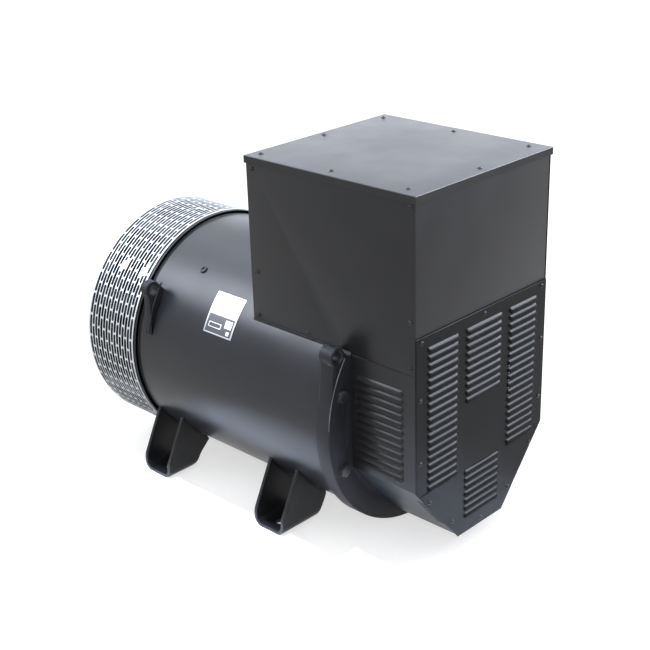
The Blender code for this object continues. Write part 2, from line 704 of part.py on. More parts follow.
def build_barrel():
    ring_front = BARREL_FRONT_X + END_RING_LENGTH
    ring_rear = BARREL_REAR_X - END_RING_LENGTH
    profile = [
        (BARREL_RADIUS, BARREL_REAR_X),
        (BARREL_RADIUS, BARREL_FRONT_X),
        (END_RING_RADIUS, BARREL_FRONT_X),
        (END_RING_RADIUS, ring_front),
        (BARREL_INNER_RADIUS, ring_front),
        (BARREL_INNER_RADIUS, ring_rear),
        (END_RING_RADIUS, ring_rear),
        (END_RING_RADIUS, BARREL_REAR_X),
    ]
    barrel = turned_part("frame_barrel", profile, LARGE_STEPS, "charcoal_paint")
    half = LEAD_OPENING_LENGTH / 2
    low = (LEAD_OPENING_X - half, -LEAD_OPENING_WIDTH / 2, BARREL_INNER_RADIUS - 2 * OVERRUN)
    high = (LEAD_OPENING_X + half, LEAD_OPENING_WIDTH / 2, BARREL_RADIUS + OVERRUN)
    cut(barrel, make_cutter("lead_opening", block_mesh("lead_opening", [(low, high, None)])))
    holes = hole_cutter(
        "frame_bolt_holes",
        BRACKET_BOLT_SHANK_RADIUS + HOLE_CLEARANCE,
        ring_rear - OVERRUN,
        BARREL_REAR_X + OVERRUN,
        BRACKET_BOLT_CIRCLE_RADIUS,
        bracket_bolt_angles(),
    )
    cut(barrel, holes)


def build_frame_plug():
    rings = [(PLUG_RADIUS, 0), (PLUG_RADIUS, PLUG_HEIGHT / 2), (PLUG_RADIUS * PLUG_CROWN_SHARE, PLUG_HEIGHT)]
    place = radial_place(PLUG_X, PLUG_ANGLE, BARREL_RADIUS + GAP)
    make_part("frame_plug", stack_mesh("frame_plug", rings, SMALL_STEPS // 2, [place]), "charcoal_paint")


# A cutter the size of the barrel or the bracket with the seating gap, for whatever sits on them
def seat_cutter(name, radius, front, rear):
    return turned_cutter(name, rod_profile(radius + GAP, front, rear), LARGE_STEPS, closed=False)


def foot_channel_outline():
    half = FOOT_WIDTH / 2
    bottom = -SHAFT_HEIGHT
    bend = FOOT_BEND_RADIUS
    left = arc((-half + bend, bottom + bend), bend, math.pi, 1.5 * math.pi, 4)
    right = arc((half - bend, bottom + bend), bend, 1.5 * math.pi, 2 * math.pi, 4)
    path = [(-half, FOOT_TOP_Z + OVERRUN)] + left + right + [(half, FOOT_TOP_Z + OVERRUN)]
    return strip_outline(path, FOOT_PLATE)


def foot_side_outline(heel_y):
    bottom = -SHAFT_HEIGHT
    return [
        (-FOOT_TOP_Y, FOOT_TOP_Z),
        (-FOOT_TOE_Y, bottom + FOOT_TOE_HEIGHT),
        (-FOOT_TOE_Y, bottom - OVERRUN),
        (-heel_y, bottom - OVERRUN),
        (-heel_y, bottom),
        (-heel_y + FOOT_HEEL_RUN, bottom + FOOT_HEEL_RISE / 2),
        (-heel_y + FOOT_HEEL_RUN + FOOT_HEEL_RISE, bottom + 2 * FOOT_HEEL_RISE),
        (-FOOT_INNER_TOP_Y, FOOT_INNER_TOP_Z),
    ]


def build_foot(name, x, heel_y, side, seat):
    channel = plate_mesh(name, [foot_channel_outline()], 2 * (FOOT_TOE_Y - FOOT_INNER_TOP_Y))
    place = Matrix.Translation((x, side * (FOOT_TOE_Y + FOOT_INNER_TOP_Y) / 2, 0)) @ PLANE_XZ
    foot = make_part(name, channel, "foot_paint", MACHINE, place)
    outline = foot_side_outline(heel_y)
    if side > 0:
        outline = mirrored(outline)
    reach = FOOT_WIDTH / 2 + OVERRUN
    side_shape = plate_cutter(name + "_side", [outline], PLANE_YZ, x - reach, x + reach)
    combine(foot, side_shape, "INTERSECT")
    rings = [(FOOT_HOLE_RADIUS, 0), (FOOT_HOLE_RADIUS, FOOT_PLATE + 2 * OVERRUN)]
    hole_place = Matrix.Translation((x, side * FOOT_HOLE_Y, -SHAFT_HEIGHT - OVERRUN))
    hole = make_cutter(name + "_hole", stack_mesh(name + "_hole", rings, 2 * PIN_STEPS, [hole_place]))
    cut(foot, seat, hole)


def build_feet(seat):
    build_foot("front_foot_left", FRONT_FOOT_X, FRONT_FOOT_HEEL_Y, -1, seat)
    build_foot("front_foot_right", FRONT_FOOT_X, FRONT_FOOT_HEEL_Y, 1, seat)
    build_foot("rear_foot_left", REAR_FOOT_X, REAR_FOOT_HEEL_Y, -1, seat)
    build_foot("rear_foot_right", REAR_FOOT_X, REAR_FOOT_HEEL_Y, 1, seat)


def polar(angle, radius):
    return (-radius * math.cos(angle), radius * math.sin(angle))


def eye_outline(surface_radius, root_radius):
    # A round eye over the rim, with a short shoulder above it and a long tail running down onto the rim
    centre = polar(EYE_ANGLE, EYE_CENTRE_RADIUS)
    outward = math.pi - EYE_ANGLE
    tail = [polar(EYE_TAIL_ANGLE, surface_radius), polar(EYE_TAIL_ANGLE, root_radius)]
    shoulder = [polar(EYE_SHOULDER_ANGLE, root_radius)]
    head = arc(centre, EYE_OUTER_RADIUS, outward - 0.5 * math.pi, outward + 0.45 * math.pi, 7)
    return shoulder + head + tail


def eye_outlines(surface_radius, root_radius, side):
    hole = circle(polar(EYE_ANGLE, EYE_CENTRE_RADIUS), EYE_HOLE_RADIUS, 2 * PIN_STEPS)
    outlines = [eye_outline(surface_radius, root_radius), hole]
    if side > 0:
        outlines = [mirrored(outline) for outline in outlines]
    return outlines


def build_lifting_ears(seat):
    root = BARREL_RADIUS - FRONT_EYE_THICKNESS / 2
    front = FRONT_EYE_X - FRONT_EYE_THICKNESS / 2
    rear = FRONT_EYE_X + FRONT_EYE_THICKNESS / 2
    for name, side in (("lifting_ear_left", -1), ("lifting_ear_right", 1)):
        outlines = eye_outlines(BARREL_RADIUS, root, side)
        ear = plate_part(name, outlines, PLANE_YZ, front, rear, "charcoal_paint")
        cut(ear, seat)


# Engine adaptor and the screen round it
def build_adaptor():
    flange_rear = ADAPTOR_REAR_X - ADAPTOR_GROOVE_LENGTH
    ring_front = ADAPTOR_REAR_X - END_RING_LENGTH
    profile = [
        (ADAPTOR_GROOVE_RADIUS, ADAPTOR_REAR_X),
        (ADAPTOR_GROOVE_RADIUS, flange_rear),
        (ADAPTOR_RADIUS, flange_rear),
        (ADAPTOR_RADIUS, ADAPTOR_FACE_X),
        (ADAPTOR_SPIGOT_RADIUS, ADAPTOR_FACE_X),
        (ADAPTOR_SPIGOT_RADIUS, ring_front),
        (END_RING_RADIUS, ring_front),
        (END_RING_RADIUS, ADAPTOR_REAR_X),
    ]
    adaptor = turned_part("engine_adaptor", profile, LARGE_STEPS, "charcoal_paint")
    middle = (ADAPTOR_FACE_X + flange_rear) / 2
    half_length = ADAPTOR_WINDOW_LENGTH / 2
    half_width = ADAPTOR_WINDOW_WIDTH / 2
    low = (middle - half_length, -half_width, END_RING_RADIUS - OVERRUN)
    high = (middle + half_length, half_width, ADAPTOR_RADIUS + OVERRUN)
    windows = [(low, high, around(angle)) for angle in ring_angles(ADAPTOR_WINDOW_COUNT)]
    cut(adaptor, make_cutter("adaptor_windows", block_mesh("adaptor_windows", windows)))
    holes = hole_cutter(
        "adaptor_bolt_holes",
        ADAPTOR_HOLE_RADIUS,
        ADAPTOR_FACE_X - OVERRUN,
        ADAPTOR_FACE_X + ADAPTOR_FLANGE,
        ADAPTOR_BOLT_CIRCLE_RADIUS,
        ring_angles(ADAPTOR_BOLT_COUNT, 0.5),
    )
    cut(adaptor, holes)


def screen_levels():
    # Positions across the band: margin, then slot rows parted by ribs, then margin
    slot = (SCREEN_WIDTH - 2 * SCREEN_MARGIN + SCREEN_RIB) / SCREEN_SLOT_ROWS - SCREEN_RIB
    front = ADAPTOR_FACE_X + SCREEN_FRONT_INSET
    levels = [front]
    position = front + SCREEN_MARGIN
    for _ in range(SCREEN_SLOT_ROWS):
        levels += [position, position + slot]
        position += slot + SCREEN_RIB
    levels.append(front + SCREEN_WIDTH)
    return levels


def build_fan_screen():
    # The band is a grid wrapped on a cylinder: every second band of faces is a row of slots, whose bridges
    # step by half a pitch from row to row, and the faces that fall in a slot are left out
    half = 0.5 - SCREEN_BRIDGE_SHARE
    column_shares = (0, SCREEN_BRIDGE_SHARE, 0.5, 1 - half)
    pitch = math.tau / SCREEN_SLOTS_ROUND
    widest = half * pitch
    radius = (ADAPTOR_RADIUS + GAP) / math.cos(widest / 2)
    start = SCREEN_JOINT_ANGLE - pitch / 4
    turns = range(SCREEN_SLOTS_ROUND)
    angles = [start + pitch * (index + share) for index in turns for share in column_shares]
    levels = screen_levels()
    bm = bmesh.new()
    grid = []
    for x in levels:
        grid.append([bm.verts.new((x, -radius * math.cos(a), radius * math.sin(a))) for a in angles])
    columns = len(angles)
    for row in range(len(levels) - 1):
        slot_row = row % 2 == 1
        bridge = 0 if row % 4 == 1 else 2
        for column in range(columns):
            if slot_row and column % 4 != bridge:
                continue
            after = (column + 1) % columns
            bm.faces.new((grid[row][column], grid[row][after], grid[row + 1][after], grid[row + 1][column]))
    bmesh.ops.recalc_face_normals(bm, faces=bm.faces)
    screen = make_part("fan_screen", mesh_from(bm, "fan_screen"), "bright_steel")
    wall = screen.modifiers.new("sheet", "SOLIDIFY")
    wall.thickness = SCREEN_SHEET
    wall.offset = 1


# Rear bracket, its bolts and its lifting lugs
def build_rear_bracket():
    rim = ring_profile(BRACKET_WINDOW_RADIUS, BRACKET_RADIUS, BRACKET_FRONT_X, BRACKET_REAR_X)
    bracket = turned_part("rear_bracket", rim, LARGE_STEPS, "charcoal_paint")
    shaft_hole = SHAFT_SEAL_RADIUS + BRACKET_SHAFT_CLEARANCE
    housing = BEARING_OUTER_RADIUS + GAP
    shoulder = BEARING_FRONT_X - GAP
    hub_profile = [
        (BRACKET_HUB_RADIUS, BRACKET_HUB_REAR_X),
        (BRACKET_HUB_RADIUS, BRACKET_HUB_FRONT_X),
        (shaft_hole, BRACKET_HUB_FRONT_X),
        (shaft_hole, shoulder),
        (housing, shoulder),
        (housing, BRACKET_HUB_REAR_X),
    ]
    hub = turned_cutter("bracket_hub", hub_profile, ROTOR_STEPS)
    middle = (BRACKET_FRONT_X + BRACKET_REAR_X) / 2
    half_thickness = BRACKET_ARM_THICKNESS / 2
    half_width = BRACKET_ARM_WIDTH / 2
    low = (middle - half_thickness, -half_width, BRACKET_HUB_RADIUS - OVERRUN)
    high = (middle + half_thickness, half_width, BRACKET_WINDOW_RADIUS + OVERRUN)
    arms = [(low, high, around(angle)) for angle in ring_angles(BRACKET_ARM_COUNT, 0.5)]
    join(bracket, hub, make_cutter("bracket_arms", block_mesh("bracket_arms", arms)))
    lug_front = BRACKET_FRONT_X + SURFACE_EMBED
    lug_rear = lug_front + REAR_EYE_THICKNESS
    for name, side in (("lug_left", -1), ("lug_right", 1)):
        outlines = eye_outlines(BRACKET_RADIUS, BRACKET_RADIUS - OVERRUN, side)
        join(bracket, plate_cutter(name, outlines, PLANE_YZ, lug_front, lug_rear))
    holes = hole_cutter(
        "bracket_bolt_holes",
        BRACKET_BOLT_SHANK_RADIUS + HOLE_CLEARANCE,
        BRACKET_FRONT_X - OVERRUN,
        BRACKET_REAR_X + OVERRUN,
        BRACKET_BOLT_CIRCLE_RADIUS,
        bracket_bolt_angles(),
    )
    cut(bracket, holes)
    head = hex_radius(BRACKET_BOLT_ACROSS_FLATS)
    rings = [
        (BRACKET_BOLT_SHANK_RADIUS, -GAP - BRACKET_BOLT_SHANK_LENGTH),
        (BRACKET_BOLT_SHANK_RADIUS, 0),
        (head, 0),
        (head, BRACKET_BOLT_HEAD),
    ]
    for number, angle in enumerate(bracket_bolt_angles(), 1):
        name = "bracket_bolt_" + str(number)
        place = axial_place(BRACKET_REAR_X + GAP, BRACKET_BOLT_CIRCLE_RADIUS, angle, 1)
        make_part(name, stack_mesh(name, rings, HEX_STEPS, [place]), "black_bolts")


# Bearing: rings with grooved races, balls and a cage of their own body
def race_profile(face_radius, side):
    # Side is -1 on the outer ring, whose groove faces the shaft, and +1 on the inner ring
    groove = BALL_RADIUS + RACE_RUNNING_CLEARANCE
    edge = abs(BEARING_PITCH_RADIUS - face_radius)
    half_angle = math.acos(edge / groove)
    steps = 4
    points = []
    for step in range(steps + 1):
        angle = -half_angle + 2 * half_angle * step / steps
        points.append((BEARING_PITCH_RADIUS - side * groove * math.cos(angle), groove * math.sin(angle)))
    return points


def build_bearing():
    outer_face = BEARING_PITCH_RADIUS + BALL_RADIUS - RACE_SHOULDER
    inner_face = BEARING_PITCH_RADIUS - BALL_RADIUS + RACE_SHOULDER
    outer_race = [(radius, BEARING_MIDDLE_X + x) for radius, x in race_profile(outer_face, -1)]
    outer = [(BEARING_OUTER_RADIUS, BEARING_REAR_X), (BEARING_OUTER_RADIUS, BEARING_FRONT_X)]
    outer += [(outer_face, BEARING_FRONT_X)] + outer_race + [(outer_face, BEARING_REAR_X)]
    turned_part("bearing_outer_ring", outer, ROTOR_STEPS, "bright_steel")
    inner_race = [(radius, BEARING_MIDDLE_X - x) for radius, x in race_profile(inner_face, 1)]
    bore = BEARING_BORE_RADIUS + GAP
    inner = [(inner_face, BEARING_REAR_X)] + inner_race
    inner += [(inner_face, BEARING_FRONT_X), (bore, BEARING_FRONT_X), (bore, BEARING_REAR_X)]
    turned_part("bearing_inner_ring", inner, ROTOR_STEPS, "bright_steel", ROTOR_AXIS)
    profile = ring_profile(
        BEARING_PITCH_RADIUS - CAGE_HALF_DEPTH,
        BEARING_PITCH_RADIUS + CAGE_HALF_DEPTH,
        BEARING_MIDDLE_X - CAGE_HALF_WIDTH,
        BEARING_MIDDLE_X + CAGE_HALF_WIDTH,
    )
    cage = turned_part("bearing_balls_and_cage", profile, ROTOR_STEPS, "brass", CAGE_AXIS)
    bm = bmesh.new()
    for angle in ring_angles(BALL_COUNT):
        place = Matrix.Translation((BEARING_MIDDLE_X, 0, 0)) @ around(angle)
        place = place @ Matrix.Translation((0, 0, BEARING_PITCH_RADIUS))
        bmesh.ops.create_uvsphere(
            bm, u_segments=BALL_SEGMENTS, v_segments=BALL_RINGS, radius=BALL_RADIUS, matrix=place
        )
    join(cage, make_cutter("bearing_balls", mesh_from(bm, "bearing_balls")))


def build_bearing_cap():
    hole = SHAFT_TAIL_RADIUS + BRACKET_SHAFT_CLEARANCE + PILOT_HOUSING_WALL
    profile = ring_profile(hole, BEARING_CAP_RADIUS, CAP_FRONT_X, CAP_REAR_X)
    turned_part("bearing_cap", profile, ROTOR_STEPS, "charcoal_paint")


# Stator core in the barrel, with its bars and windings
def slotted_outline():
    pitch = math.tau / CORE_SLOT_COUNT
    half_slot = pitch * CORE_SLOT_SHARE / 2
    points = []
    for index in range(CORE_SLOT_COUNT):
        middle = pitch * index
        for radius, angle in (
            (CORE_BORE_RADIUS, middle - half_slot),
            (CORE_BORE_RADIUS + CORE_SLOT_DEPTH, middle - half_slot),
            (CORE_BORE_RADIUS + CORE_SLOT_DEPTH, middle + half_slot),
            (CORE_BORE_RADIUS, middle + half_slot),
        ):
            points.append((radius * math.cos(angle), radius * math.sin(angle)))
    return points


def build_stator():
    outlines = [circle((0, 0), CORE_OUTER_RADIUS, LARGE_STEPS), slotted_outline()]
    core = plate_part("stator_core", outlines, PLANE_YZ, CORE_FRONT_X, CORE_REAR_X, "electrical_steel")
    half_bar = CORE_BAR_WIDTH / 2
    wall = BARREL_INNER_RADIUS * math.cos(math.pi / LARGE_STEPS) - GAP
    low = (CORE_FRONT_X + SURFACE_EMBED, -half_bar, CORE_OUTER_RADIUS - OVERRUN)
    high = (CORE_REAR_X - SURFACE_EMBED, half_bar, math.sqrt(wall * wall - half_bar * half_bar))
    bars = [(low, high, around(angle)) for angle in ring_angles(CORE_BAR_COUNT, 0.5)]
    join(core, make_cutter("core_bars", block_mesh("core_bars", bars)))
    build_windings()


def overhang_profile(near, far):
    # Rounded away from the core: near is the end beside the core and far the free end
    direction = 1 if far > near else -1
    corner = far - direction * OVERHANG_ROUNDING
    points = [
        (OVERHANG_OUTER_RADIUS, near),
        (OVERHANG_OUTER_RADIUS, corner),
        (OVERHANG_OUTER_RADIUS - OVERHANG_ROUNDING, far),
        (OVERHANG_INNER_RADIUS + OVERHANG_ROUNDING, far),
        (OVERHANG_INNER_RADIUS, corner),
        (OVERHANG_INNER_RADIUS, near),
    ]
    return list(reversed(points)) if direction > 0 else points


def build_windings():
    # The overhang at each end of the core, joined by the bars that lie in the core's slots
    front = overhang_profile(CORE_FRONT_X - 2 * GAP, CORE_FRONT_X - OVERHANG_LENGTH)
    rear = overhang_profile(CORE_REAR_X + 2 * GAP, CORE_REAR_X + OVERHANG_LENGTH)
    winding = turned_part("stator_winding", front, ROTOR_STEPS, "varnished_copper")
    inner = CORE_BORE_RADIUS + AIR_GAP
    half_angle = math.pi / CORE_SLOT_COUNT * CORE_SLOT_SHARE
    half_width = CORE_BORE_RADIUS * math.sin(half_angle) - 2 * GAP
    floor = (CORE_BORE_RADIUS + CORE_SLOT_DEPTH) * math.cos(half_angle) - 2 * GAP
    low = (CORE_FRONT_X - OVERRUN, -half_width, inner)
    high = (CORE_REAR_X + OVERRUN, half_width, floor)
    bars = [(low, high, around(angle)) for angle in ring_angles(CORE_SLOT_COUNT)]
    bar_cutter = make_cutter("slot_bars", block_mesh("slot_bars", bars))
    join(winding, bar_cutter, turned_cutter("rear_overhang", rear, ROTOR_STEPS))


# Rotor on the shaft
def build_shaft():
    core_front = CORE_FRONT_X - SHAFT_CORE_OVERHANG
    core_rear = CORE_REAR_X + SHAFT_CORE_OVERHANG
    seal_end = BEARING_FRONT_X - GAP
    profile = [
        (0, PILOT_REAR_X + SHAFT_CHAMFER),
        (SHAFT_TAIL_RADIUS - SHAFT_CHAMFER, PILOT_REAR_X + SHAFT_CHAMFER),
        (SHAFT_TAIL_RADIUS, PILOT_REAR_X),
        (SHAFT_TAIL_RADIUS, BEARING_REAR_X),
        (BEARING_BORE_RADIUS, BEARING_REAR_X),
        (BEARING_BORE_RADIUS, seal_end),
        (SHAFT_SEAL_RADIUS, seal_end),
        (SHAFT_SEAL_RADIUS, SHAFT_EXCITER_END_X),
        (SHAFT_EXCITER_RADIUS, SHAFT_EXCITER_END_X),
        (SHAFT_EXCITER_RADIUS, core_rear),
        (SHAFT_CORE_RADIUS, core_rear),
        (SHAFT_CORE_RADIUS, core_front),
        (SHAFT_HUB_RADIUS, core_front),
        (SHAFT_HUB_RADIUS, HUB_FRONT_X + SHAFT_CHAMFER),
        (SHAFT_HUB_RADIUS - SHAFT_CHAMFER, HUB_FRONT_X),
        (0, HUB_FRONT_X),
    ]
    turned_part("shaft", profile, ROTOR_STEPS, "machined_steel", ROTOR_AXIS, closed=False)


def pole_outline():
    # One pole after another: up the side of its body, round its shoe and down to the yoke
    shoe_inner = (ROTOR_RADIUS - POLE_SHOE_DEPTH) * math.cos(POLE_SHOE_ANGLE)
    shoe_half = ROTOR_RADIUS * math.sin(POLE_SHOE_ANGLE)
    points = []
    for index in range(POLE_COUNT):
        turn = math.tau * (index + 0.5) / POLE_COUNT
        shoe = arc((0, 0), ROTOR_RADIUS, -POLE_SHOE_ANGLE, POLE_SHOE_ANGLE, 6)
        pole = [(ROTOR_YOKE_RADIUS, -POLE_BODY_HALF_WIDTH), (shoe_inner, -POLE_BODY_HALF_WIDTH)]
        pole += [(shoe_inner, -shoe_half)] + shoe + [(shoe_inner, shoe_half)]
        pole += [(shoe_inner, POLE_BODY_HALF_WIDTH), (ROTOR_YOKE_RADIUS, POLE_BODY_HALF_WIDTH)]
        for along, across in pole:
            points.append((
                along * math.cos(turn) - across * math.sin(turn),
                along * math.sin(turn) + across * math.cos(turn),
            ))
    return points


def build_rotor_core():
    bore = circle((0, 0), SHAFT_CORE_RADIUS + 2 * GAP, ROTOR_STEPS)
    outlines = [pole_outline(), bore]
    plate_part("rotor_core", outlines, PLANE_YZ, CORE_FRONT_X, CORE_REAR_X, "electrical_steel", ROTOR_AXIS)
    coil_low = ROTOR_YOKE_RADIUS + GAP
    coil_high = (ROTOR_RADIUS - POLE_SHOE_DEPTH) * math.cos(POLE_SHOE_ANGLE) - GAP
    inner_half = POLE_BODY_HALF_WIDTH + GAP
    window = rectangle(CORE_FRONT_X - GAP, -inner_half, CORE_REAR_X + GAP, inner_half)
    outer_half = POLE_BODY_HALF_WIDTH + COIL_WIDTH
    coil_front = CORE_FRONT_X - COIL_END_WIDTH
    coil_rear = CORE_REAR_X + COIL_END_WIDTH
    outside = rectangle(coil_front, -outer_half, coil_rear, outer_half)
    for index, angle in enumerate(ring_angles(POLE_COUNT, 0.5)):
        name = "rotor_coil_" + str(index + 1)
        place = around(angle) @ Matrix.Translation((0, 0, (coil_high + coil_low) / 2))
        coil = plate_mesh(name, [outside, window], coil_high - coil_low)
        make_part(name, coil, "varnished_copper", ROTOR_AXIS, place)


def build_coupling():
    bore = SHAFT_HUB_RADIUS + GAP
    flange_rear = HUB_FRONT_X + HUB_FLANGE_THICKNESS
    hub_profile = [
        (HUB_RADIUS, HUB_REAR_X),
        (HUB_RADIUS, flange_rear),
        (HUB_FLANGE_RADIUS, flange_rear),
        (HUB_FLANGE_RADIUS, HUB_FRONT_X),
        (bore, HUB_FRONT_X),
        (bore, HUB_REAR_X),
    ]
    turned_part("coupling_hub", hub_profile, ROTOR_STEPS, "machined_steel", ROTOR_AXIS)
    holes = []
    for angle in ring_angles(DISC_HOLE_COUNT, 0.5):
        holes.append(circle(polar(angle, DISC_HOLE_CIRCLE_RADIUS), DISC_HOLE_RADIUS, PIN_STEPS))
    disc = [circle((0, 0), DISC_RADIUS, LARGE_STEPS), circle((0, 0), DISC_BORE_RADIUS, ROTOR_STEPS)] + holes
    plate_part("coupling_discs", disc, PLANE_YZ, DISC_FACE_X, DISC_REAR_X, "bright_steel", ROTOR_AXIS)
    clamp = ring_profile(DISC_BORE_RADIUS, CLAMP_RING_RADIUS, CLAMP_RING_FRONT_X, DISC_FACE_X - GAP)
    ring = turned_part("disc_clamp_ring", clamp, ROTOR_STEPS, "machined_steel", ROTOR_AXIS)
    head = hex_radius(HUB_BOLT_ACROSS_FLATS)
    rings = [(head, -CLAMP_RING_THICKNESS / 2), (head, HUB_BOLT_HEAD)]
    places = []
    for angle in ring_angles(HUB_BOLT_COUNT):
        places.append(axial_place(CLAMP_RING_FRONT_X, HUB_BOLT_CIRCLE_RADIUS, angle, -1))
    join(ring, make_cutter("coupling_bolt_heads", stack_mesh("coupling_bolt_heads", rings, HEX_STEPS, places)))


def blade_path():
    # A backward-leaning arc: the blade turns by the sweep angle as its radius grows from the eye to the rim
    path = []
    for step in range(FAN_BLADE_STATIONS):
        share = step / (FAN_BLADE_STATIONS - 1)
        radius = FAN_EYE_RADIUS + (FAN_RADIUS - FAN_EYE_RADIUS) * share
        angle = -FAN_BLADE_SWEEP * share * share
        path.append((radius * math.cos(angle), radius * math.sin(angle)))
    return path


def build_fan():
    disc_rear = FAN_DISC_FRONT_X + FAN_DISC_THICKNESS
    bore = HUB_RADIUS + GAP
    tip = FAN_RADIUS - FAN_BLADE_THICKNESS
    profile = [
        (tip, disc_rear),
        (tip, FAN_DISC_FRONT_X),
        (bore, FAN_DISC_FRONT_X),
        (bore, FAN_DISC_FRONT_X + FAN_BOSS_LENGTH),
        (FAN_BOSS_RADIUS, FAN_DISC_FRONT_X + FAN_BOSS_LENGTH),
        (FAN_BOSS_RADIUS, disc_rear),
    ]
    fan = turned_part("fan", profile, ROTOR_STEPS, "cast_aluminium", ROTOR_AXIS)
    outline = strip_outline(blade_path(), FAN_BLADE_THICKNESS)
    low = FAN_DISC_FRONT_X + FAN_DISC_THICKNESS / 2
    bm = bmesh.new()
    for angle in ring_angles(FAN_BLADE_COUNT):
        blade = plate_mesh("fan_blade", [outline], FAN_BLADE_DEPTH)
        blade.transform(plane_matrix(PLANE_YZ, low, low + FAN_BLADE_DEPTH))
        blade.transform(around(angle))
        bm.from_mesh(blade)
    join(fan, make_cutter("fan_blades", mesh_from(bm, "fan_blades")))


# Exciter, rectifier and pilot exciter
def build_exciter():
    rear = EXCITER_FRONT_X + EXCITER_CORE_LENGTH
    bore = SHAFT_EXCITER_RADIUS + GAP
    armature = ring_profile(bore, EXCITER_ROTOR_RADIUS, EXCITER_FRONT_X, rear)
    turned_part("exciter_armature", armature, ROTOR_STEPS, "varnished_copper", ROTOR_AXIS)
    pole_face = EXCITER_ROTOR_RADIUS + EXCITER_AIR_GAP
    yoke_inner = EXCITER_YOKE_RADIUS - EXCITER_YOKE_WALL
    seat = BRACKET_FRONT_X + (BRACKET_RIM_LENGTH - BRACKET_ARM_THICKNESS) / 2 - 2 * GAP
    stator = [
        (EXCITER_FOOT_RADIUS, seat),
        (EXCITER_FOOT_RADIUS, seat - EXCITER_FOOT_THICKNESS),
        (EXCITER_YOKE_RADIUS, seat - EXCITER_FOOT_THICKNESS),
        (EXCITER_YOKE_RADIUS, EXCITER_FRONT_X),
        (pole_face, EXCITER_FRONT_X),
        (pole_face, rear),
        (yoke_inner, rear),
        (yoke_inner, seat),
    ]
    turned_part("exciter_stator", stator, ROTOR_STEPS, "varnished_copper")
    wheel_rear = RECTIFIER_FRONT_X + RECTIFIER_THICKNESS
    wheel = ring_profile(bore, RECTIFIER_RADIUS, RECTIFIER_FRONT_X, wheel_rear)
    rectifier = turned_part("rectifier_wheel", wheel, ROTOR_STEPS, "cast_aluminium", ROTOR_AXIS)
    rings = [(DIODE_RADIUS, -RECTIFIER_THICKNESS / 2), (DIODE_RADIUS, DIODE_HEIGHT)]
    places = [axial_place(wheel_rear, DIODE_CIRCLE_RADIUS, angle, 1) for angle in ring_angles(DIODE_COUNT)]
    join(rectifier, make_cutter("diodes", stack_mesh("diodes", rings, HEX_STEPS, places)))


def build_pilot_exciter():
    rotor = ring_profile(SHAFT_TAIL_RADIUS + GAP, PILOT_ROTOR_RADIUS, PILOT_FRONT_X, PILOT_REAR_X)
    turned_part("pilot_exciter_rotor", rotor, ROTOR_STEPS, "machined_steel", ROTOR_AXIS)
    stator_inner = (PILOT_ROTOR_RADIUS + EXCITER_AIR_GAP) / math.cos(math.pi / SMALL_STEPS)
    stator = ring_profile(stator_inner, PILOT_STATOR_RADIUS, PILOT_FRONT_X, PILOT_REAR_X)
    turned_part("pilot_exciter_stator", stator, SMALL_STEPS, "varnished_copper")
    inner = PILOT_STATOR_RADIUS + GAP
    outer = inner + PILOT_HOUSING_WALL
    front = CAP_REAR_X + GAP
    floor = front + PILOT_HOUSING_WALL
    housing = [
        (outer, PILOT_REAR_X),
        (outer, front),
        (PILOT_ROTOR_RADIUS, front),
        (PILOT_ROTOR_RADIUS, floor),
        (inner, floor),
        (inner, PILOT_REAR_X),
    ]
    turned_part("pilot_exciter_housing", housing, SMALL_STEPS, "charcoal_paint")


# Terminal box
def panel(name, low, high):
    return make_part(name, block_mesh(name, [(low, high, None)]), "charcoal_paint")


def build_box_panels(barrel_seat, bracket_seat):
    for name, inner, outer in (
        ("box_side_left", -COVER_HALF_WIDTH, -COVER_HALF_WIDTH + SHEET),
        ("box_side_right", COVER_HALF_WIDTH - SHEET, COVER_HALF_WIDTH),
    ):
        side = panel(name, (BOX_FRONT_X, inner, BOX_SEAM_Z), (COVER_INNER_X, outer, BOX_PANEL_TOP_Z))
        cut(side, barrel_seat, bracket_seat)
    half = BOX_INNER_HALF_WIDTH
    front_low = (BOX_FRONT_X, -half, BOX_SEAM_Z)
    front = panel("box_front_panel", front_low, (BOX_FRONT_X + SHEET, half, BOX_PANEL_TOP_Z))
    cut(front, barrel_seat)
    rear_low = (BOX_REAR_X - SHEET, -half, COVER_TOP_Z + GAP)
    panel("box_rear_panel", rear_low, (BOX_REAR_X, half, BOX_PANEL_TOP_Z))


def build_box_floor(barrel_seat):
    half = BOX_INNER_HALF_WIDTH
    front = BOX_FRONT_X + SHEET + GAP
    floor = panel("box_floor", (front, -half, BOX_FLOOR_Z), (BOX_REAR_X - SHEET - GAP, half, BOX_FLOOR_TOP_Z))
    low = (LEAD_OPENING_X - LEAD_OPENING_LENGTH / 2, -LEAD_OPENING_WIDTH / 2, BOX_FLOOR_Z - OVERRUN)
    high = (LEAD_OPENING_X + LEAD_OPENING_LENGTH / 2, LEAD_OPENING_WIDTH / 2, BOX_FLOOR_TOP_Z + OVERRUN)
    cut(floor, make_cutter("floor_opening", block_mesh("floor_opening", [(low, high, None)])))
    half_rail = BOX_RAIL_WIDTH / 2
    for name, side in (("box_rail_left", -1), ("box_rail_right", 1)):
        middle = side * BOX_RAIL_Y
        low = (LEAD_OPENING_X - BOX_RAIL_LENGTH / 2, middle - half_rail, BOX_RAIL_Y)
        high = (LEAD_OPENING_X + BOX_RAIL_LENGTH / 2, middle + half_rail, BOX_FLOOR_Z - GAP)
        cut(panel(name, low, high), barrel_seat)


def lid_limits():
    front = BOX_FRONT_X - LID_OVERHANG
    rear = COVER_INNER_X + LID_OVERHANG
    half = COVER_HALF_WIDTH + LID_OVERHANG
    return front, rear, half


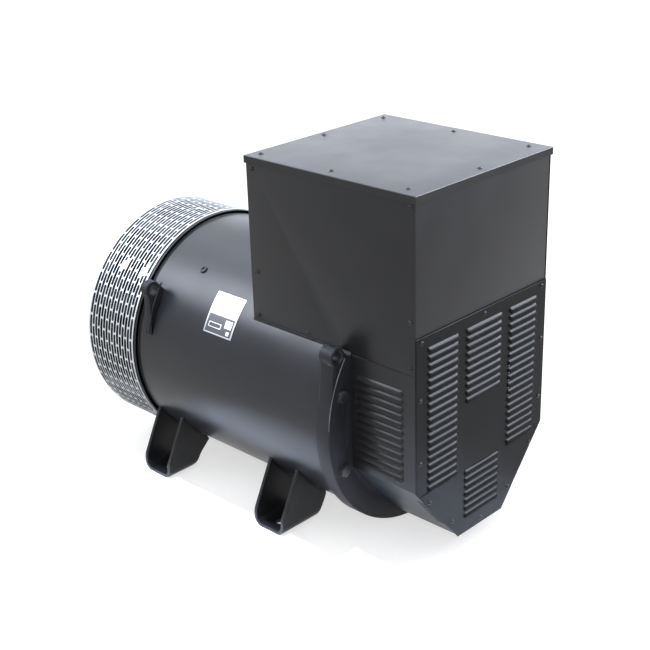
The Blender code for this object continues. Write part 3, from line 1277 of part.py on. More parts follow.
def build_lid():
    front, rear, half = lid_limits()
    rim = LID_TOP_Z - LID_CROWN
    bm = bmesh.new()
    corners = [bm.verts.new((x, y, rim)) for x, y in rectangle(front, -half, rear, half)]
    top = bm.faces.new(corners)
    lip = bmesh.ops.extrude_edge_only(bm, edges=list(top.edges))
    for vertex in (item for item in lip["geom"] if isinstance(item, bmesh.types.BMVert)):
        vertex.co.z -= LID_LIP
    apex = bmesh.ops.poke(bm, faces=[top])["verts"][0]
    apex.co.z = LID_TOP_Z
    bmesh.ops.recalc_face_normals(bm, faces=bm.faces)
    lid = make_part("box_lid", mesh_from(bm, "box_lid", math.radians(1)), "charcoal_paint")
    wall = lid.modifiers.new("sheet", "SOLIDIFY")
    wall.thickness = SHEET
    wall.offset = -1
    wall.use_even_offset = True


# Terminal board, studs, links and voltage regulator inside the box
def build_terminal_gear():
    base = BOX_FLOOR_TOP_Z + GAP
    half_length = BOARD_LENGTH / 2
    half_width = BOARD_WIDTH / 2
    board_top = base + BOARD_HEIGHT
    low = (BOARD_X - half_length, BOARD_Y - half_width, base)
    high = (BOARD_X + half_length, BOARD_Y + half_width, board_top)
    board = make_part("terminal_board", block_mesh("terminal_board", [(low, high, None)]), "moulded_board")
    nut = hex_radius(STUD_NUT_ACROSS_FLATS)
    nut_low = LINK_THICKNESS + 2 * GAP
    nut_high = nut_low + STUD_NUT_HEIGHT
    rings = [(STUD_RADIUS, -BOARD_HEIGHT / 2), (STUD_RADIUS, nut_low), (nut, nut_low)]
    rings += [(nut, nut_high), (STUD_RADIUS, STUD_HEIGHT)]
    studs = []
    for index in range(LINK_COUNT):
        name = "busbar_link_" + str(index + 1)
        x = BOARD_X + (index - (LINK_COUNT - 1) / 2) * BOARD_LENGTH / LINK_COUNT
        half_link = LINK_LENGTH / 2
        low_x = x - LINK_WIDTH / 2
        high_x = x + LINK_WIDTH / 2
        outline = rectangle(low_x, BOARD_Y - half_link, high_x, BOARD_Y + half_link)
        holes = []
        for side in (-1, 1):
            y = BOARD_Y + side * STUD_SPACING / 2
            studs.append(Matrix.Translation((x, y, board_top)))
            holes.append(circle((x, y), STUD_RADIUS + HOLE_CLEARANCE, PIN_STEPS))
        link = plate_mesh(name, [outline] + holes, LINK_THICKNESS)
        place = Matrix.Translation((0, 0, board_top + GAP + LINK_THICKNESS / 2))
        make_part(name, link, "brass", MACHINE, place)
    join(board, make_cutter("terminal_studs", stack_mesh("terminal_studs", rings, HEX_STEPS, studs)))
    build_regulator(base)


def build_regulator(base):
    half = REGULATOR_LENGTH / 2
    margin = REGULATOR_BRACKET_MARGIN
    plate_rear = REGULATOR_BRACKET_Y + REGULATOR_BRACKET_SHEET
    top = base + REGULATOR_LIFT + REGULATOR_HEIGHT + margin
    low = (BOARD_X - half - margin, REGULATOR_BRACKET_Y, base)
    high = (BOARD_X + half + margin, plate_rear, top)
    make_part("regulator_bracket", block_mesh("regulator_bracket", [(low, high, None)]), "machined_steel")
    foot = base + REGULATOR_LIFT
    low = (BOARD_X - half, plate_rear + GAP, foot)
    high = (BOARD_X + half, plate_rear + GAP + REGULATOR_DEPTH, foot + REGULATOR_HEIGHT)
    make_part("voltage_regulator", block_mesh("voltage_regulator", [(low, high, None)]), "regulator_case")


# Louvres: hooded pressings, closed at the top and the ends and open along the lower edge
def add_louvre(bm, u, v, length, matrix, hollow):
    # A block that narrows from its base in the sheet to its crest. The hollow one is a wall thinner all round,
    # reaches past the sheet, and hangs below the hood's lower edge to open the slit
    base = -COVER_SHEET / 2
    low = -LOUVRE_HEIGHT / 2
    high = LOUVRE_HEIGHT / 2
    crest_drop = LOUVRE_HEIGHT * (1 - LOUVRE_CREST_SHARE)
    wall = LOUVRE_WALL if hollow else 0
    depths = (base, LOUVRE_DEPTH)
    if hollow:
        low -= LOUVRE_SLIT_DROP
        depths = (-COVER_SHEET - LOUVRE_CUT_PAST, LOUVRE_DEPTH - wall)
    for vertex in bmesh.ops.create_cube(bm, size=2)["verts"]:
        depth = depths[1] if vertex.co.z > 0 else depths[0]
        share = (depth - base) / (LOUVRE_DEPTH - base)
        half = length / 2 - LOUVRE_END_SLOPE * share - wall
        top = high - crest_drop * share - wall
        along = math.copysign(half, vertex.co.x)
        up = top if vertex.co.y > 0 else low
        vertex.co = (matrix @ Matrix.Translation((u + along, v + up, depth))).translation


def louvre_tool(name, places, face, offset, hollow):
    bm = bmesh.new()
    matrix = face @ Matrix.Translation((0, 0, offset))
    for u, v, length in places:
        add_louvre(bm, u, v, length, matrix, hollow)
    return make_cutter(name, mesh_from(bm, name))


def press_louvres(part, places, face, offset):
    join(part, louvre_tool(part.name + "_hoods", places, face, offset, False))
    cut(part, louvre_tool(part.name + "_slits", places, face, offset, True))


def louvre_column(u, top, count, pitch, length):
    return [(u, top - index * pitch, length) for index in range(count)]


def cover_outline(inset=0.0):
    # Seen from behind: square shoulders above and chamfered corners below
    slope_u = COVER_HALF_WIDTH - COVER_BOTTOM_HALF_WIDTH
    slope_v = COVER_CHAMFER_Z - COVER_BOTTOM_Z
    slope = math.hypot(slope_u, slope_v)
    side = COVER_HALF_WIDTH - inset
    chamfer_drop = inset * (slope - slope_v) / slope_u
    bottom_shift = inset * (slope - slope_u) / slope_v
    return [
        (-side, COVER_TOP_Z - inset),
        (-side, COVER_CHAMFER_Z + chamfer_drop),
        (-COVER_BOTTOM_HALF_WIDTH + bottom_shift, COVER_BOTTOM_Z + inset),
        (COVER_BOTTOM_HALF_WIDTH - bottom_shift, COVER_BOTTOM_Z + inset),
        (side, COVER_CHAMFER_Z + chamfer_drop),
        (side, COVER_TOP_Z - inset),
    ]


def build_rear_cover():
    cover = plate_part("rear_louvre_cover", [cover_outline()], PLANE_YZ, -COVER_SHEET, 0, "charcoal_paint")
    inset = PAN_INSET + SHEET + GAP
    rim = [cover_outline(inset), cover_outline(inset + SHEET)]
    rim_front = -COVER_SHEET - COVER_RETURN
    join(cover, plate_cutter("cover_return", rim, PLANE_YZ, rim_front, -COVER_SHEET / 2))
    places = []
    top = REAR_LOUVRE_TOP_Z
    pitch = REAR_LOUVRE_PITCH
    for u in (-OUTER_LOUVRE_Y, OUTER_LOUVRE_Y):
        places += louvre_column(u, top, OUTER_LOUVRE_COUNT, pitch, OUTER_LOUVRE_LENGTH)
    places += louvre_column(0, top, UPPER_LOUVRE_COUNT, pitch, MIDDLE_LOUVRE_LENGTH)
    places += louvre_column(0, LOWER_LOUVRE_TOP_Z, LOWER_LOUVRE_COUNT, pitch, MIDDLE_LOUVRE_LENGTH)
    press_louvres(cover, places, FACE_REAR, 0)


def build_side_louvres():
    front = BRACKET_REAR_X + GAP
    low_z = COVER_CHAMFER_Z + GAP
    high_z = BOX_SEAM_Z - GAP
    places = louvre_column(
        SIDE_LOUVRE_X, SIDE_LOUVRE_TOP_Z, SIDE_LOUVRE_COUNT, SIDE_LOUVRE_PITCH, SIDE_LOUVRE_LENGTH
    )
    low_y = -COVER_HALF_WIDTH
    left = panel("side_louvre_panel_left", (front, low_y, low_z), (COVER_INNER_X, low_y + SHEET, high_z))
    press_louvres(left, places, FACE_LEFT, COVER_HALF_WIDTH)
    high_y = COVER_HALF_WIDTH
    right = panel("side_louvre_panel_right", (front, high_y - SHEET, low_z), (COVER_INNER_X, high_y, high_z))
    turned = [(-u, v, length) for u, v, length in places]
    press_louvres(right, turned, FACE_RIGHT, COVER_HALF_WIDTH)


def build_belly_pan():
    # A folded pan: a lip inside each side panel, down the chamfers and across the bottom
    outline = cover_outline(PAN_INSET)
    lip_y = BOX_INNER_HALF_WIDTH
    path = [
        (-lip_y, COVER_CHAMFER_Z + PAN_LIP),
        (-lip_y, outline[1][1]),
        outline[2],
        outline[3],
        (lip_y, outline[4][1]),
        (lip_y, COVER_CHAMFER_Z + PAN_LIP),
    ]
    front = BRACKET_REAR_X + GAP
    plate_part("belly_pan", [strip_outline(path, SHEET)], PLANE_YZ, front, COVER_INNER_X, "charcoal_paint")


# Rating plate: a strip of the barrel's own surface, lifted by the seating gap
def build_rating_plate():
    plate_rear = PLATE_FRONT_X + PLATE_LENGTH
    inner = BARREL_RADIUS + GAP
    outer = inner + PLATE_THICKNESS
    ring = ring_profile(inner, outer, PLATE_FRONT_X, plate_rear)
    plate = turned_part("rating_plate", ring, LARGE_STEPS, "plate_aluminium")
    reach = 2 * outer
    wedge = [polar(PLATE_LOW_ANGLE, inner / 2), polar(PLATE_LOW_ANGLE, reach), polar(PLATE_HIGH_ANGLE, reach)]
    wedge.append(polar(PLATE_HIGH_ANGLE, inner / 2))
    limits = (PLATE_FRONT_X - OVERRUN, plate_rear + OVERRUN)
    combine(plate, plate_cutter("plate_wedge", [wedge], PLANE_YZ, *limits), "INTERSECT")


def build_machine():
    barrel_seat = seat_cutter("barrel_seat", BARREL_RADIUS, BARREL_FRONT_X - GAP, BARREL_REAR_X + GAP)
    bracket_seat = seat_cutter("bracket_seat", BRACKET_RADIUS, BRACKET_FRONT_X - GAP, BRACKET_REAR_X + GAP)
    build_barrel()
    build_frame_plug()
    build_feet(barrel_seat)
    build_lifting_ears(barrel_seat)
    build_adaptor()
    build_fan_screen()
    build_rear_bracket()
    build_bearing()
    build_bearing_cap()
    build_stator()
    build_shaft()
    build_rotor_core()
    build_coupling()
    build_fan()
    build_exciter()
    build_pilot_exciter()
    build_box_panels(barrel_seat, bracket_seat)
    build_box_floor(barrel_seat)
    build_lid()
    build_terminal_gear()
    build_rear_cover()
    build_side_louvres()
    build_belly_pan()
    build_rating_plate()


build_machine()
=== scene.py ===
import math

import bmesh
import bpy
import numpy as np
from mathutils import Matrix, Vector


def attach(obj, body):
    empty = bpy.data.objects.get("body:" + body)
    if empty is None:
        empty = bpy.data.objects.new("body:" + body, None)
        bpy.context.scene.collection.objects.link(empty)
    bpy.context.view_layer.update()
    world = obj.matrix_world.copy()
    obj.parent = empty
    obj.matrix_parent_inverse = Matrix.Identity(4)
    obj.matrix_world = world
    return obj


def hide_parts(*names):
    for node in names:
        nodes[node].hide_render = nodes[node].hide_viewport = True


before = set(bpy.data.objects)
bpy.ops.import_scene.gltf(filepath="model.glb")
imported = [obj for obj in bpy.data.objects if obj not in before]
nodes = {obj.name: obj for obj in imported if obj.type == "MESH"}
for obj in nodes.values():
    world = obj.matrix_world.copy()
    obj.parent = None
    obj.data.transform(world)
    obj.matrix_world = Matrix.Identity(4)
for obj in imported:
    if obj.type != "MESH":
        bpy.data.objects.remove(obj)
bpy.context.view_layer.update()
print("frame loaded,", len(nodes), "nodes")

# Pieces are laid out from the rear face of the hood on the shaft line, in metres, and then put at this place.
# -Y is the side of the rating plate, and the drive end is towards -X.
machineZero = np.array([0.6365, 0.0, 0.366])
barrelRadius = 0.347
turn = 2 * np.pi


# Surfaces: each is (points, list of face arrays), worked out as whole arrays

def gridFaces(rows, columns, closeRows=False, closeColumns=False):
    # one four-sided face for each cell; a closed side joins its last line to its first
    row, column = np.meshgrid(np.arange(rows - (not closeRows)), np.arange(columns - (not closeColumns)),
                              indexing="ij")
    here, ahead = row * columns, (row + 1) % rows * columns
    beside = (column + 1) % columns
    return np.stack([here + column, ahead + column, ahead + beside, here + beside], -1)


def gridSurface(points, closeRows=False, closeColumns=False, keep=None):
    # the grid's points in one list, and its faces; keep says which cells stay
    rows, columns = points.shape[:2]
    faces = gridFaces(rows, columns, closeRows, closeColumns)
    faces = faces.reshape(-1, 4) if keep is None else faces[keep]
    return points.reshape(-1, 3), [faces]


def capSurface(ring):
    # one flat face over a closed ring of points
    return ring, [np.arange(len(ring))[None, :]]


def onRound(x, angle, radius):
    # the point at x on the shaft line, at this angle above the -Y side: y = -r cos(angle), z = r sin(angle)
    x, angle, radius = np.broadcast_arrays(x, angle, radius)
    return np.stack([x, -radius * np.cos(angle), radius * np.sin(angle)], -1)


def turned(profile, steps=160):
    # a closed profile of (x, radius) turned about the shaft line by equal angles
    profile = np.asarray(profile, float)
    points = onRound(profile[:, :1], np.arange(steps) * turn / steps, profile[:, 1:])
    return gridSurface(points, closeRows=True, closeColumns=True)


def swept(xs, line):
    # a line of (y, z) carried along the shaft line to each x
    return np.stack(np.broadcast_arrays(xs[:, None], line[None, :, 0], line[None, :, 1]), -1)


def stacked(points):
    # rings of points one above the other, closed at both ends by a flat face
    return [gridSurface(points, closeColumns=True), capSurface(points[0][::-1]), capSurface(points[-1])]


def rounded(corners, radius, closed=True, steps=4):
    # each corner becomes an arc that touches both its sides: centre + a turned towards b, by equal angles
    p = np.asarray(corners, float)
    r = np.broadcast_to(np.asarray(radius, float), len(p))
    toBefore, toAfter = np.roll(p, 1, 0) - p, np.roll(p, -1, 0) - p
    sideBefore, sideAfter = (np.maximum(np.linalg.norm(v, axis=1), 1e-9) for v in (toBefore, toAfter))
    u, v = toBefore / sideBefore[:, None], toAfter / sideAfter[:, None]
    half = np.arccos(np.clip((u * v).sum(1), -0.99999, 0.99999)) / 2
    run = np.minimum(r / np.tan(half), 0.45 * np.minimum(sideBefore, sideAfter))
    r = run * np.tan(half)
    middle = (u + v) / np.maximum(np.linalg.norm(u + v, axis=1), 1e-9)[:, None]
    centre = p + middle * (r / np.sin(half))[:, None]
    a, b = p + u * run[:, None] - centre, p + v * run[:, None] - centre
    angle = np.maximum(np.pi - 2 * half, 1e-5)[:, None, None]
    s = np.linspace(0, 1, steps + 1)[None, :, None]
    arcs = np.sin((1 - s) * angle) * a[:, None] + np.sin(s * angle) * b[:, None]
    arcs = arcs / np.sin(angle) + centre[:, None]
    if closed:
        return arcs.reshape(-1, 2)
    return np.concatenate([p[:1], arcs[1:-1].reshape(-1, 2), p[-1:]])


def inset(outline, distance):
    # a closed anticlockwise outline moved inwards along its mitres
    before, after = np.roll(outline, 1, 0), np.roll(outline, -1, 0)
    d1, d2 = outline - before, after - outline
    d1 /= np.maximum(np.linalg.norm(d1, axis=1), 1e-9)[:, None]
    d2 /= np.maximum(np.linalg.norm(d2, axis=1), 1e-9)[:, None]
    n1, n2 = np.stack([-d1[:, 1], d1[:, 0]], 1), np.stack([-d2[:, 1], d2[:, 0]], 1)
    both = n1 + n2
    return outline + distance * both * (2 / np.maximum((both * both).sum(1), 0.5))[:, None]


def dense(outline, step):
    # more points along the long sides of a closed outline, with its own points kept
    loop = np.concatenate([outline, outline[:1]])
    along = np.concatenate([[0], np.cumsum(np.linalg.norm(np.diff(loop, axis=0), axis=1))])
    places = np.unique(np.concatenate([along[:-1], np.arange(0, along[-1], step)]).round(7))
    return np.stack([np.interp(places, along, loop[:, k]) for k in (0, 1)], 1)


def rimmed(outline, profile):
    # a profile of (inset, height) carried round an outline: one ring of the outline for each of its points
    rings = [np.column_stack([inset(outline, d), np.full(len(outline), w)]) for d, w in profile]
    return np.stack(rings)


def slabProfile(low, high, edge, steps=3):
    # up one side of a plate with both its edges rounded to a quarter circle
    t = np.linspace(0, np.pi / 2, steps + 1)
    lower = np.stack([edge * (1 - np.sin(t)), low + edge * (1 - np.cos(t))], 1)
    upper = np.stack([edge * (1 - np.cos(t)), high - edge * (1 - np.sin(t))], 1)
    return np.concatenate([lower, upper])


def slab(outline, low, high, edge, placed):
    # a plate with rounded edges: its rim as rings, and a flat face on each end
    return stacked(placed(rimmed(outline, slabProfile(low, high, edge))))


def holedSlab(outline, holeCentre, holeRadius, low, high, edge, placed):
    # a plate with one round hole: the rings go up the rim and down the hole, and close on themselves.
    # A hole's point lies on the line from its centre to the outline's point
    away = outline - holeCentre
    away = away / np.linalg.norm(away, axis=1)[:, None]
    ring = holeCentre + holeRadius * away
    mouth = holeCentre + (holeRadius + edge) * away
    flat = [np.column_stack([part, np.full(len(part), w)]) for part, w in
            ((mouth, high), (ring, high - edge), (ring, low + edge), (mouth, low))]
    rings = np.concatenate([rimmed(outline, slabProfile(low, high, edge)), np.stack(flat)])
    return [gridSurface(placed(rings), closeRows=True, closeColumns=True)]


# Planes for outlines: (u, v, w) to the machine's axes, with w outwards

def onRear(p):
    return np.stack([p[..., 2], p[..., 0], p[..., 1]], -1)


def onLeft(p):
    return np.stack([p[..., 0], -p[..., 2], p[..., 1]], -1)


def mirroredY(surfaces):
    # the other side of the machine, with each face turned over to keep it facing out
    return [(points * [1, -1, 1], [faces[:, ::-1] for faces in sets]) for points, sets in surfaces]


def moved(surfaces, matrix):
    # every point through one placing matrix
    m = np.array(matrix)
    return [(points @ m[:3, :3].T + m[:3, 3], sets) for points, sets in surfaces]


def meshOf(name, surfaces):
    # the surfaces' points one after another, at the machine's place, with their faces counted on to match
    starts = np.cumsum([0] + [len(points) for points, _ in surfaces])
    points = np.concatenate([points for points, _ in surfaces]) + machineZero
    faces = [f + start for (_, sets), start in zip(surfaces, starts) for f in sets]
    sizes = np.concatenate([np.full(len(f), f.shape[1]) for f in faces])
    mesh = bpy.data.meshes.new(name)
    mesh.vertices.add(len(points))
    mesh.vertices.foreach_set("co", points.ravel().astype(np.float32))
    mesh.loops.add(int(sizes.sum()))
    mesh.loops.foreach_set("vertex_index", np.concatenate([f.ravel() for f in faces]).astype(np.int32))
    mesh.polygons.add(len(sizes))
    mesh.polygons.foreach_set("loop_start", np.concatenate([[0], np.cumsum(sizes)[:-1]]).astype(np.int32))
    mesh.update(calc_edges=True)
    mesh.validate()
    return mesh


def settle(item):
    # the modifiers' result becomes the mesh
    result = bpy.data.meshes.new_from_object(item.evaluated_get(bpy.context.evaluated_depsgraph_get()))
    item.modifiers.clear()
    item.data = result


def smoothed(item, sharp):
    # soft shading, with the edges steeper than this many degrees kept crisp
    item.data.shade_smooth()
    item.data.set_sharp_from_angle(angle=math.radians(sharp))


def piece(name, surfaces, material, body="stator_frame", stands=(), wall=0.0, wallOffset=-1,
          sharp=35, slot=None):
    # one finished object at the origin: doubles merged, faces out, then its wall, then smooth shading
    mesh = meshOf(name, surfaces)
    work = bmesh.new()
    work.from_mesh(mesh)
    bmesh.ops.remove_doubles(work, verts=work.verts, dist=2e-6)
    bmesh.ops.dissolve_degenerate(work, edges=work.edges, dist=1e-7)
    bmesh.ops.recalc_face_normals(work, faces=work.faces)
    work.to_mesh(mesh)
    work.free()
    item = bpy.data.objects.new(name, mesh)
    bpy.context.scene.collection.objects.link(item)
    if wall:
        sheet = item.modifiers.new("wall", "SOLIDIFY")
        sheet.thickness, sheet.offset, sheet.use_even_offset = wall, wallOffset, True
        settle(item)
    smoothed(item, sharp)
    item.data.materials.clear()
    item.data.materials.append(material)
    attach(item, body)
    if stands:
        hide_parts(*stands)
    return item


def pair(name, node, surfaces, material, **more):
    # the piece on the side of the rating plate, and its mirror image on the other side
    for side, made in (("Left", surfaces), ("Right", mirroredY(surfaces))):
        piece(name + side, made, material, stands=[f"{node}_{side.lower()}"], slot="charcoal_paint", **more)


def drilled(item, places, radius, length, sides):
    # round holes through a finished piece, each along the z of its place on the machine
    work = bmesh.new()
    for place in places:
        bmesh.ops.create_cone(work, cap_ends=True, segments=sides, radius1=radius, radius2=radius,
                              depth=length, matrix=Matrix.Translation(Vector(machineZero)) @ place)
    mesh = bpy.data.meshes.new("drill")
    work.to_mesh(mesh)
    work.free()
    drill = bpy.data.objects.new("drill", mesh)
    bpy.context.scene.collection.objects.link(drill)
    cut = item.modifiers.new("holes", "BOOLEAN")
    cut.operation, cut.solver, cut.object = "DIFFERENCE", "EXACT", drill
    settle(item)
    bpy.data.objects.remove(drill)


def facing(direction):
    # turns a piece made along its own z to look along +X or -X
    return Matrix.Rotation(direction * math.pi / 2, 4, "Y")


def onFace(angle, x, radius, direction):
    # a place on a face across the shaft line, at this angle and radius, looking along +X or -X
    return Matrix.Rotation(angle, 4, "X") @ Matrix.Translation((x, 0, radius)) @ facing(direction)


# Materials

def linear(code):
    # an sRGB hex colour as linear light
    values = np.array([int(code[k:k + 2], 16) for k in (1, 3, 5)]) / 255
    return (*np.where(values <= 0.04045, values / 12.92, ((values + 0.055) / 1.055) ** 2.4), 1.0)


def addNode(tree, kind, links=None, **settings):
    # a node with its settings; links gives for each input the socket that feeds it, or a fixed value
    made = tree.nodes.new(kind)
    for key, value in settings.items():
        setattr(made, key, value)
    for key, value in (links or {}).items():
        if isinstance(value, bpy.types.NodeSocket):
            tree.links.new(value, made.inputs[key])
        else:
            made.inputs[key].default_value = value
    return made


def newMaterial(name, **values):
    # a fresh material with fixed values on its shader's own sockets
    material = bpy.data.materials.new(name)
    material.use_nodes = True
    shader = material.node_tree.nodes["Principled BSDF"]
    for key, value in values.items():
        shader.inputs[key.replace("_", " ")].default_value = value
    return material, material.node_tree, shader


def dress(tree, shader, pattern, colours, gloss, skin=None, strength=0.0, depth=0.0):
    # colour and roughness each run between two values along one pattern, eased at both ends, so that no
    # outline shows where it reaches its limit; the skin is a pattern that raises the surface
    eased = {"Value": pattern, "From Min": 0.25, "From Max": 0.75}
    share = addNode(tree, "ShaderNodeMapRange", eased, interpolation_type="SMOOTHSTEP").outputs["Result"]
    mix = addNode(tree, "ShaderNodeMix", {0: share, 6: linear(colours[0]), 7: linear(colours[1])},
                  data_type="RGBA")
    tree.links.new(mix.outputs[2], shader.inputs["Base Color"])
    rough = addNode(tree, "ShaderNodeMapRange", {**eased, "To Min": gloss[0], "To Max": gloss[1]},
                    interpolation_type="SMOOTHSTEP")
    tree.links.new(rough.outputs["Result"], shader.inputs["Roughness"])
    if skin:
        bump = addNode(tree, "ShaderNodeBump", {"Height": skin, "Strength": strength, "Distance": depth})
        tree.links.new(bump.outputs["Normal"], shader.inputs["Normal"])


def paint(name, colour, faded, roughness, peel, lumps, gloss=0.3):
    # sprayed enamel: slow drifts of tone and gloss over 120 mm, and orange peel as a fine bump
    material, tree, shader = newMaterial(name, Metallic=0.0, IOR=1.45, Specular_IOR_Level=gloss)
    place = addNode(tree, "ShaderNodeTexCoord").outputs["Object"]
    drift = addNode(tree, "ShaderNodeTexNoise", {"Vector": place, "Scale": 1 / 0.12, "Detail": 3.0})
    skin = addNode(tree, "ShaderNodeTexNoise", {"Vector": place, "Scale": 1 / peel, "Detail": 2.0})
    dress(tree, shader, drift.outputs["Fac"], (colour, faded), (roughness - 0.03, roughness + 0.04),
          skin.outputs["Fac"], 0.25, lumps)
    return material


def metal(name, colour, dull, roughness, grain, axis=(1, 1, 1), depth=0.00002):
    # bare metal: grain stretched along the axis with the small factor, seen as streaks of tone and gloss
    material, tree, shader = newMaterial(name, Metallic=1.0)
    place = addNode(tree, "ShaderNodeTexCoord").outputs["Object"]
    place = addNode(tree, "ShaderNodeMapping", {"Vector": place, "Scale": axis}).outputs["Vector"]
    streak = addNode(tree, "ShaderNodeTexNoise", {"Vector": place, "Scale": 1 / grain, "Detail": 3.0})
    dress(tree, shader, streak.outputs["Fac"], (dull, colour), (roughness + 0.06, roughness - 0.04),
          streak.outputs["Fac"], 0.3, depth)
    return material


def mouldedPlastic(name, colour, speck, roughness):
    # moulded thermoset: flat tone with fine 1.5 mm specks of filler
    material, tree, shader = newMaterial(name, Metallic=0.0, IOR=1.54)
    place = addNode(tree, "ShaderNodeTexCoord").outputs["Object"]
    filler = addNode(tree, "ShaderNodeTexNoise", {"Vector": place, "Scale": 1 / 0.0015, "Detail": 1.0})
    dress(tree, shader, filler.outputs["Fac"], (colour, speck), (roughness, roughness + 0.08))
    return material


def varnishedWinding():
    # enamelled wire under brown varnish: 3 mm turns seen as waves of colour, glossy where the varnish pools
    material, tree, shader = newMaterial("varnishedWinding", Metallic=0.35, IOR=1.52, Coat_Weight=0.5)
    place = addNode(tree, "ShaderNodeTexCoord").outputs["Object"]
    turns = addNode(tree, "ShaderNodeTexWave", {"Vector": place, "Scale": 1 / 0.018,
                                                "Distortion": 2.5}).outputs["Fac"]
    mix = addNode(tree, "ShaderNodeMix", {0: turns, 6: linear("#5A2A16"), 7: linear("#8E4A26")},
                  data_type="RGBA")
    tree.links.new(mix.outputs[2], shader.inputs["Base Color"])
    rough = addNode(tree, "ShaderNodeMapRange", {"Value": turns, "To Min": 0.38, "To Max": 0.52},
                    interpolation_type="SMOOTHSTEP")
    tree.links.new(rough.outputs["Result"], shader.inputs["Roughness"])
    bump = addNode(tree, "ShaderNodeBump", {"Height": turns, "Strength": 0.5, "Distance": 0.0006})
    tree.links.new(bump.outputs["Normal"], shader.inputs["Normal"])
    return material


finishes = {
    # satin machine enamel on rolled plate: dark grey, broad soft reflections; peel drawn at 2.5 mm to show
    "barrelEnamel": paint("satinEnamelOnRolledPlate", "#161718", "#19191B", 0.31, 0.0025, 0.00004, 0.28),
    # powder coat on folded sheet: more even and a little flatter than the barrel; grain drawn at 1.6 mm
    "sheetCoat": paint("powderCoatOnSheet", "#151516", "#181819", 0.33, 0.0016, 0.00004, 0.26),
    # a paler copy of the same coat on the rear panel: painted light on the side that stands lit
    "litPanelCoat": paint("litCoatOnRearPanel", "#1A1A1C", "#1D1D1F", 0.34, 0.0016, 0.00004, 0.28),
    # and a darker, duller copy on the rear louvred sheet: painted shade, so the flats stay dark while the
    # hoods carry the light
    "shadedHoodCoat": paint("shadedCoatOnLouvredSheet", "#0F0F10", "#121213", 0.31, 0.0016, 0.00004, 0.09),
    # a paler, bluer copy of the same coat on the pan: painted light from the floor's bounce
    "bounceLitPanCoat": paint("bounceLitCoatOnPan", "#22252A", "#292D33", 0.40, 0.0016, 0.00004, 0.28),
    # enamel over sand casting: the sand's 3 mm lumps show through and break up the reflections
    "castEnamel": paint("enamelOnCastIron", "#18181A", "#1D1D20", 0.50, 0.0032, 0.00035, 0.17),
    # black chassis enamel on the feet and the adaptor: almost black, soft gloss
    "footEnamel": paint("blackEnamelOnFoldedPlate", "#0E0E10", "#131315", 0.36, 0.0025, 0.00008),
    # phosphated bolts under thin enamel: dark, with a tight gleam on the flats
    "boltCoat": paint("phosphatedBoltSteel", "#151618", "#1D1E21", 0.32, 0.0008, 0.00002, 0.5),
    # black oxide on the small screws: dark, slightly oily sheen
    "blackOxide": paint("blackOxideSteel", "#121214", "#1D1D20", 0.36, 0.0008, 0.00002),
    # a bright strip that stands for a painted highlight on an edge
    "edgeHighlight": metal("paintedHighlightSteel", "#8A8D90", "#4E5154", 0.45, 0.004),
    # perforated stainless band: bright, rolled grain running round the band, drawn at 2 mm
    "brightBand": metal("rolledStainless", "#C6C9CA", "#B0B4B6", 0.55, 0.002, (1, 0.15, 0.15)),
    # zinc plated coupling discs: pale, spangled softly over 6 mm
    "zincDisc": metal("zincPlatedPlate", "#B0B4B7", "#A4A8AC", 0.36, 0.006),
    # turned steel: tool marks across the axis drawn at 0.8 mm
    "turnedSteel": metal("turnedSteel", "#A9ABAD", "#7F8285", 0.32, 0.0008, (1, 0.05, 0.05)),
    # stacked electrical steel: 0.5 mm sheets are too fine to show, so lines of 1.5 mm stand for them
    "laminated": metal("stackedElectricalSteel", "#6F7173", "#4A4C4F", 0.46, 0.0015, (1, 0.03, 0.03)),
    # sand cast aluminium: pale matt grey with 2 mm grain
    "castAluminium": metal("sandCastAluminium", "#8E9193", "#6F7274", 0.55, 0.002, depth=0.0002),
    # near black and flat on the fan: painted shade, so the inside seen through the slots stays dark
    "fanPaintedShade": paint("paintedShadeOnFan", "#121315", "#18191B", 0.55, 0.003, 0.0002),
    # drawn brass of the links and the cage
    "brass": metal("drawnBrass", "#C9A256", "#A37F3B", 0.30, 0.001, (0.1, 1, 1)),
    # anodised aluminium of the rating plate: fine brushed lines along it
    "plateMetal": metal("brushedAnodisedPlate", "#C9CCCE", "#AEB1B4", 0.34, 0.0006, (0.06, 1, 1)),
    # neoprene seal: flat black rubber
    "rubber": paint("neopreneSeal", "#0D0D0E", "#141416", 0.75, 0.001, 0.00002),
    # inside the machine: varnished coils, a board of glass-filled laminate, and the regulator's potted case
    "winding": varnishedWinding(),
    "board": mouldedPlastic("glassFilledBoard", "#C9C2AC", "#B9B196", 0.55),
    "regulator": mouldedPlastic("pottedCase", "#1E2A3C", "#253246", 0.45),
    # the plate's fields: a white printed film, and a dark one below it
    "label": mouldedPlastic("printedLabel", "#F2F3F3", "#E6E8E9", 0.42),
    "darkPrint": mouldedPlastic("darkPrintedPlate", "#2A2A2C", "#343437", 0.38),
}
print("finishes made")


# Rolled barrel: a tube with chamfered ends, and a bolting ring inside each end
barrel = {"front": -1.003, "rear": -0.263, "wall": 0.010, "ringBore": 0.305, "ringLength": 0.022,
          "chamfer": 0.0035}


def makeBarrel():
    # the tube's section turned about the shaft line: chamfered ends, a ring inside each, and the wall between
    b, r = barrel, barrelRadius
    inner, c = r - b["wall"], b["chamfer"]
    profile = [
        (b["front"] + c, r), (b["front"], r - c), (b["front"], b["ringBore"]),
        (b["front"] + b["ringLength"], b["ringBore"]), (b["front"] + b["ringLength"], inner),
        (b["rear"] - b["ringLength"], inner), (b["rear"] - b["ringLength"], b["ringBore"]),
        (b["rear"], b["ringBore"]), (b["rear"], r - c), (b["rear"] - c, r),
    ]
    # the long outer run is split, so that its light falls smoothly
    profile += [(x, r) for x in np.linspace(b["rear"] - c, b["front"] + c, 9)[1:-1]]
    piece("frameBarrel", [turned(profile, 192)], finishes["barrelEnamel"], stands=["frame_barrel"],
          slot="charcoal_paint")


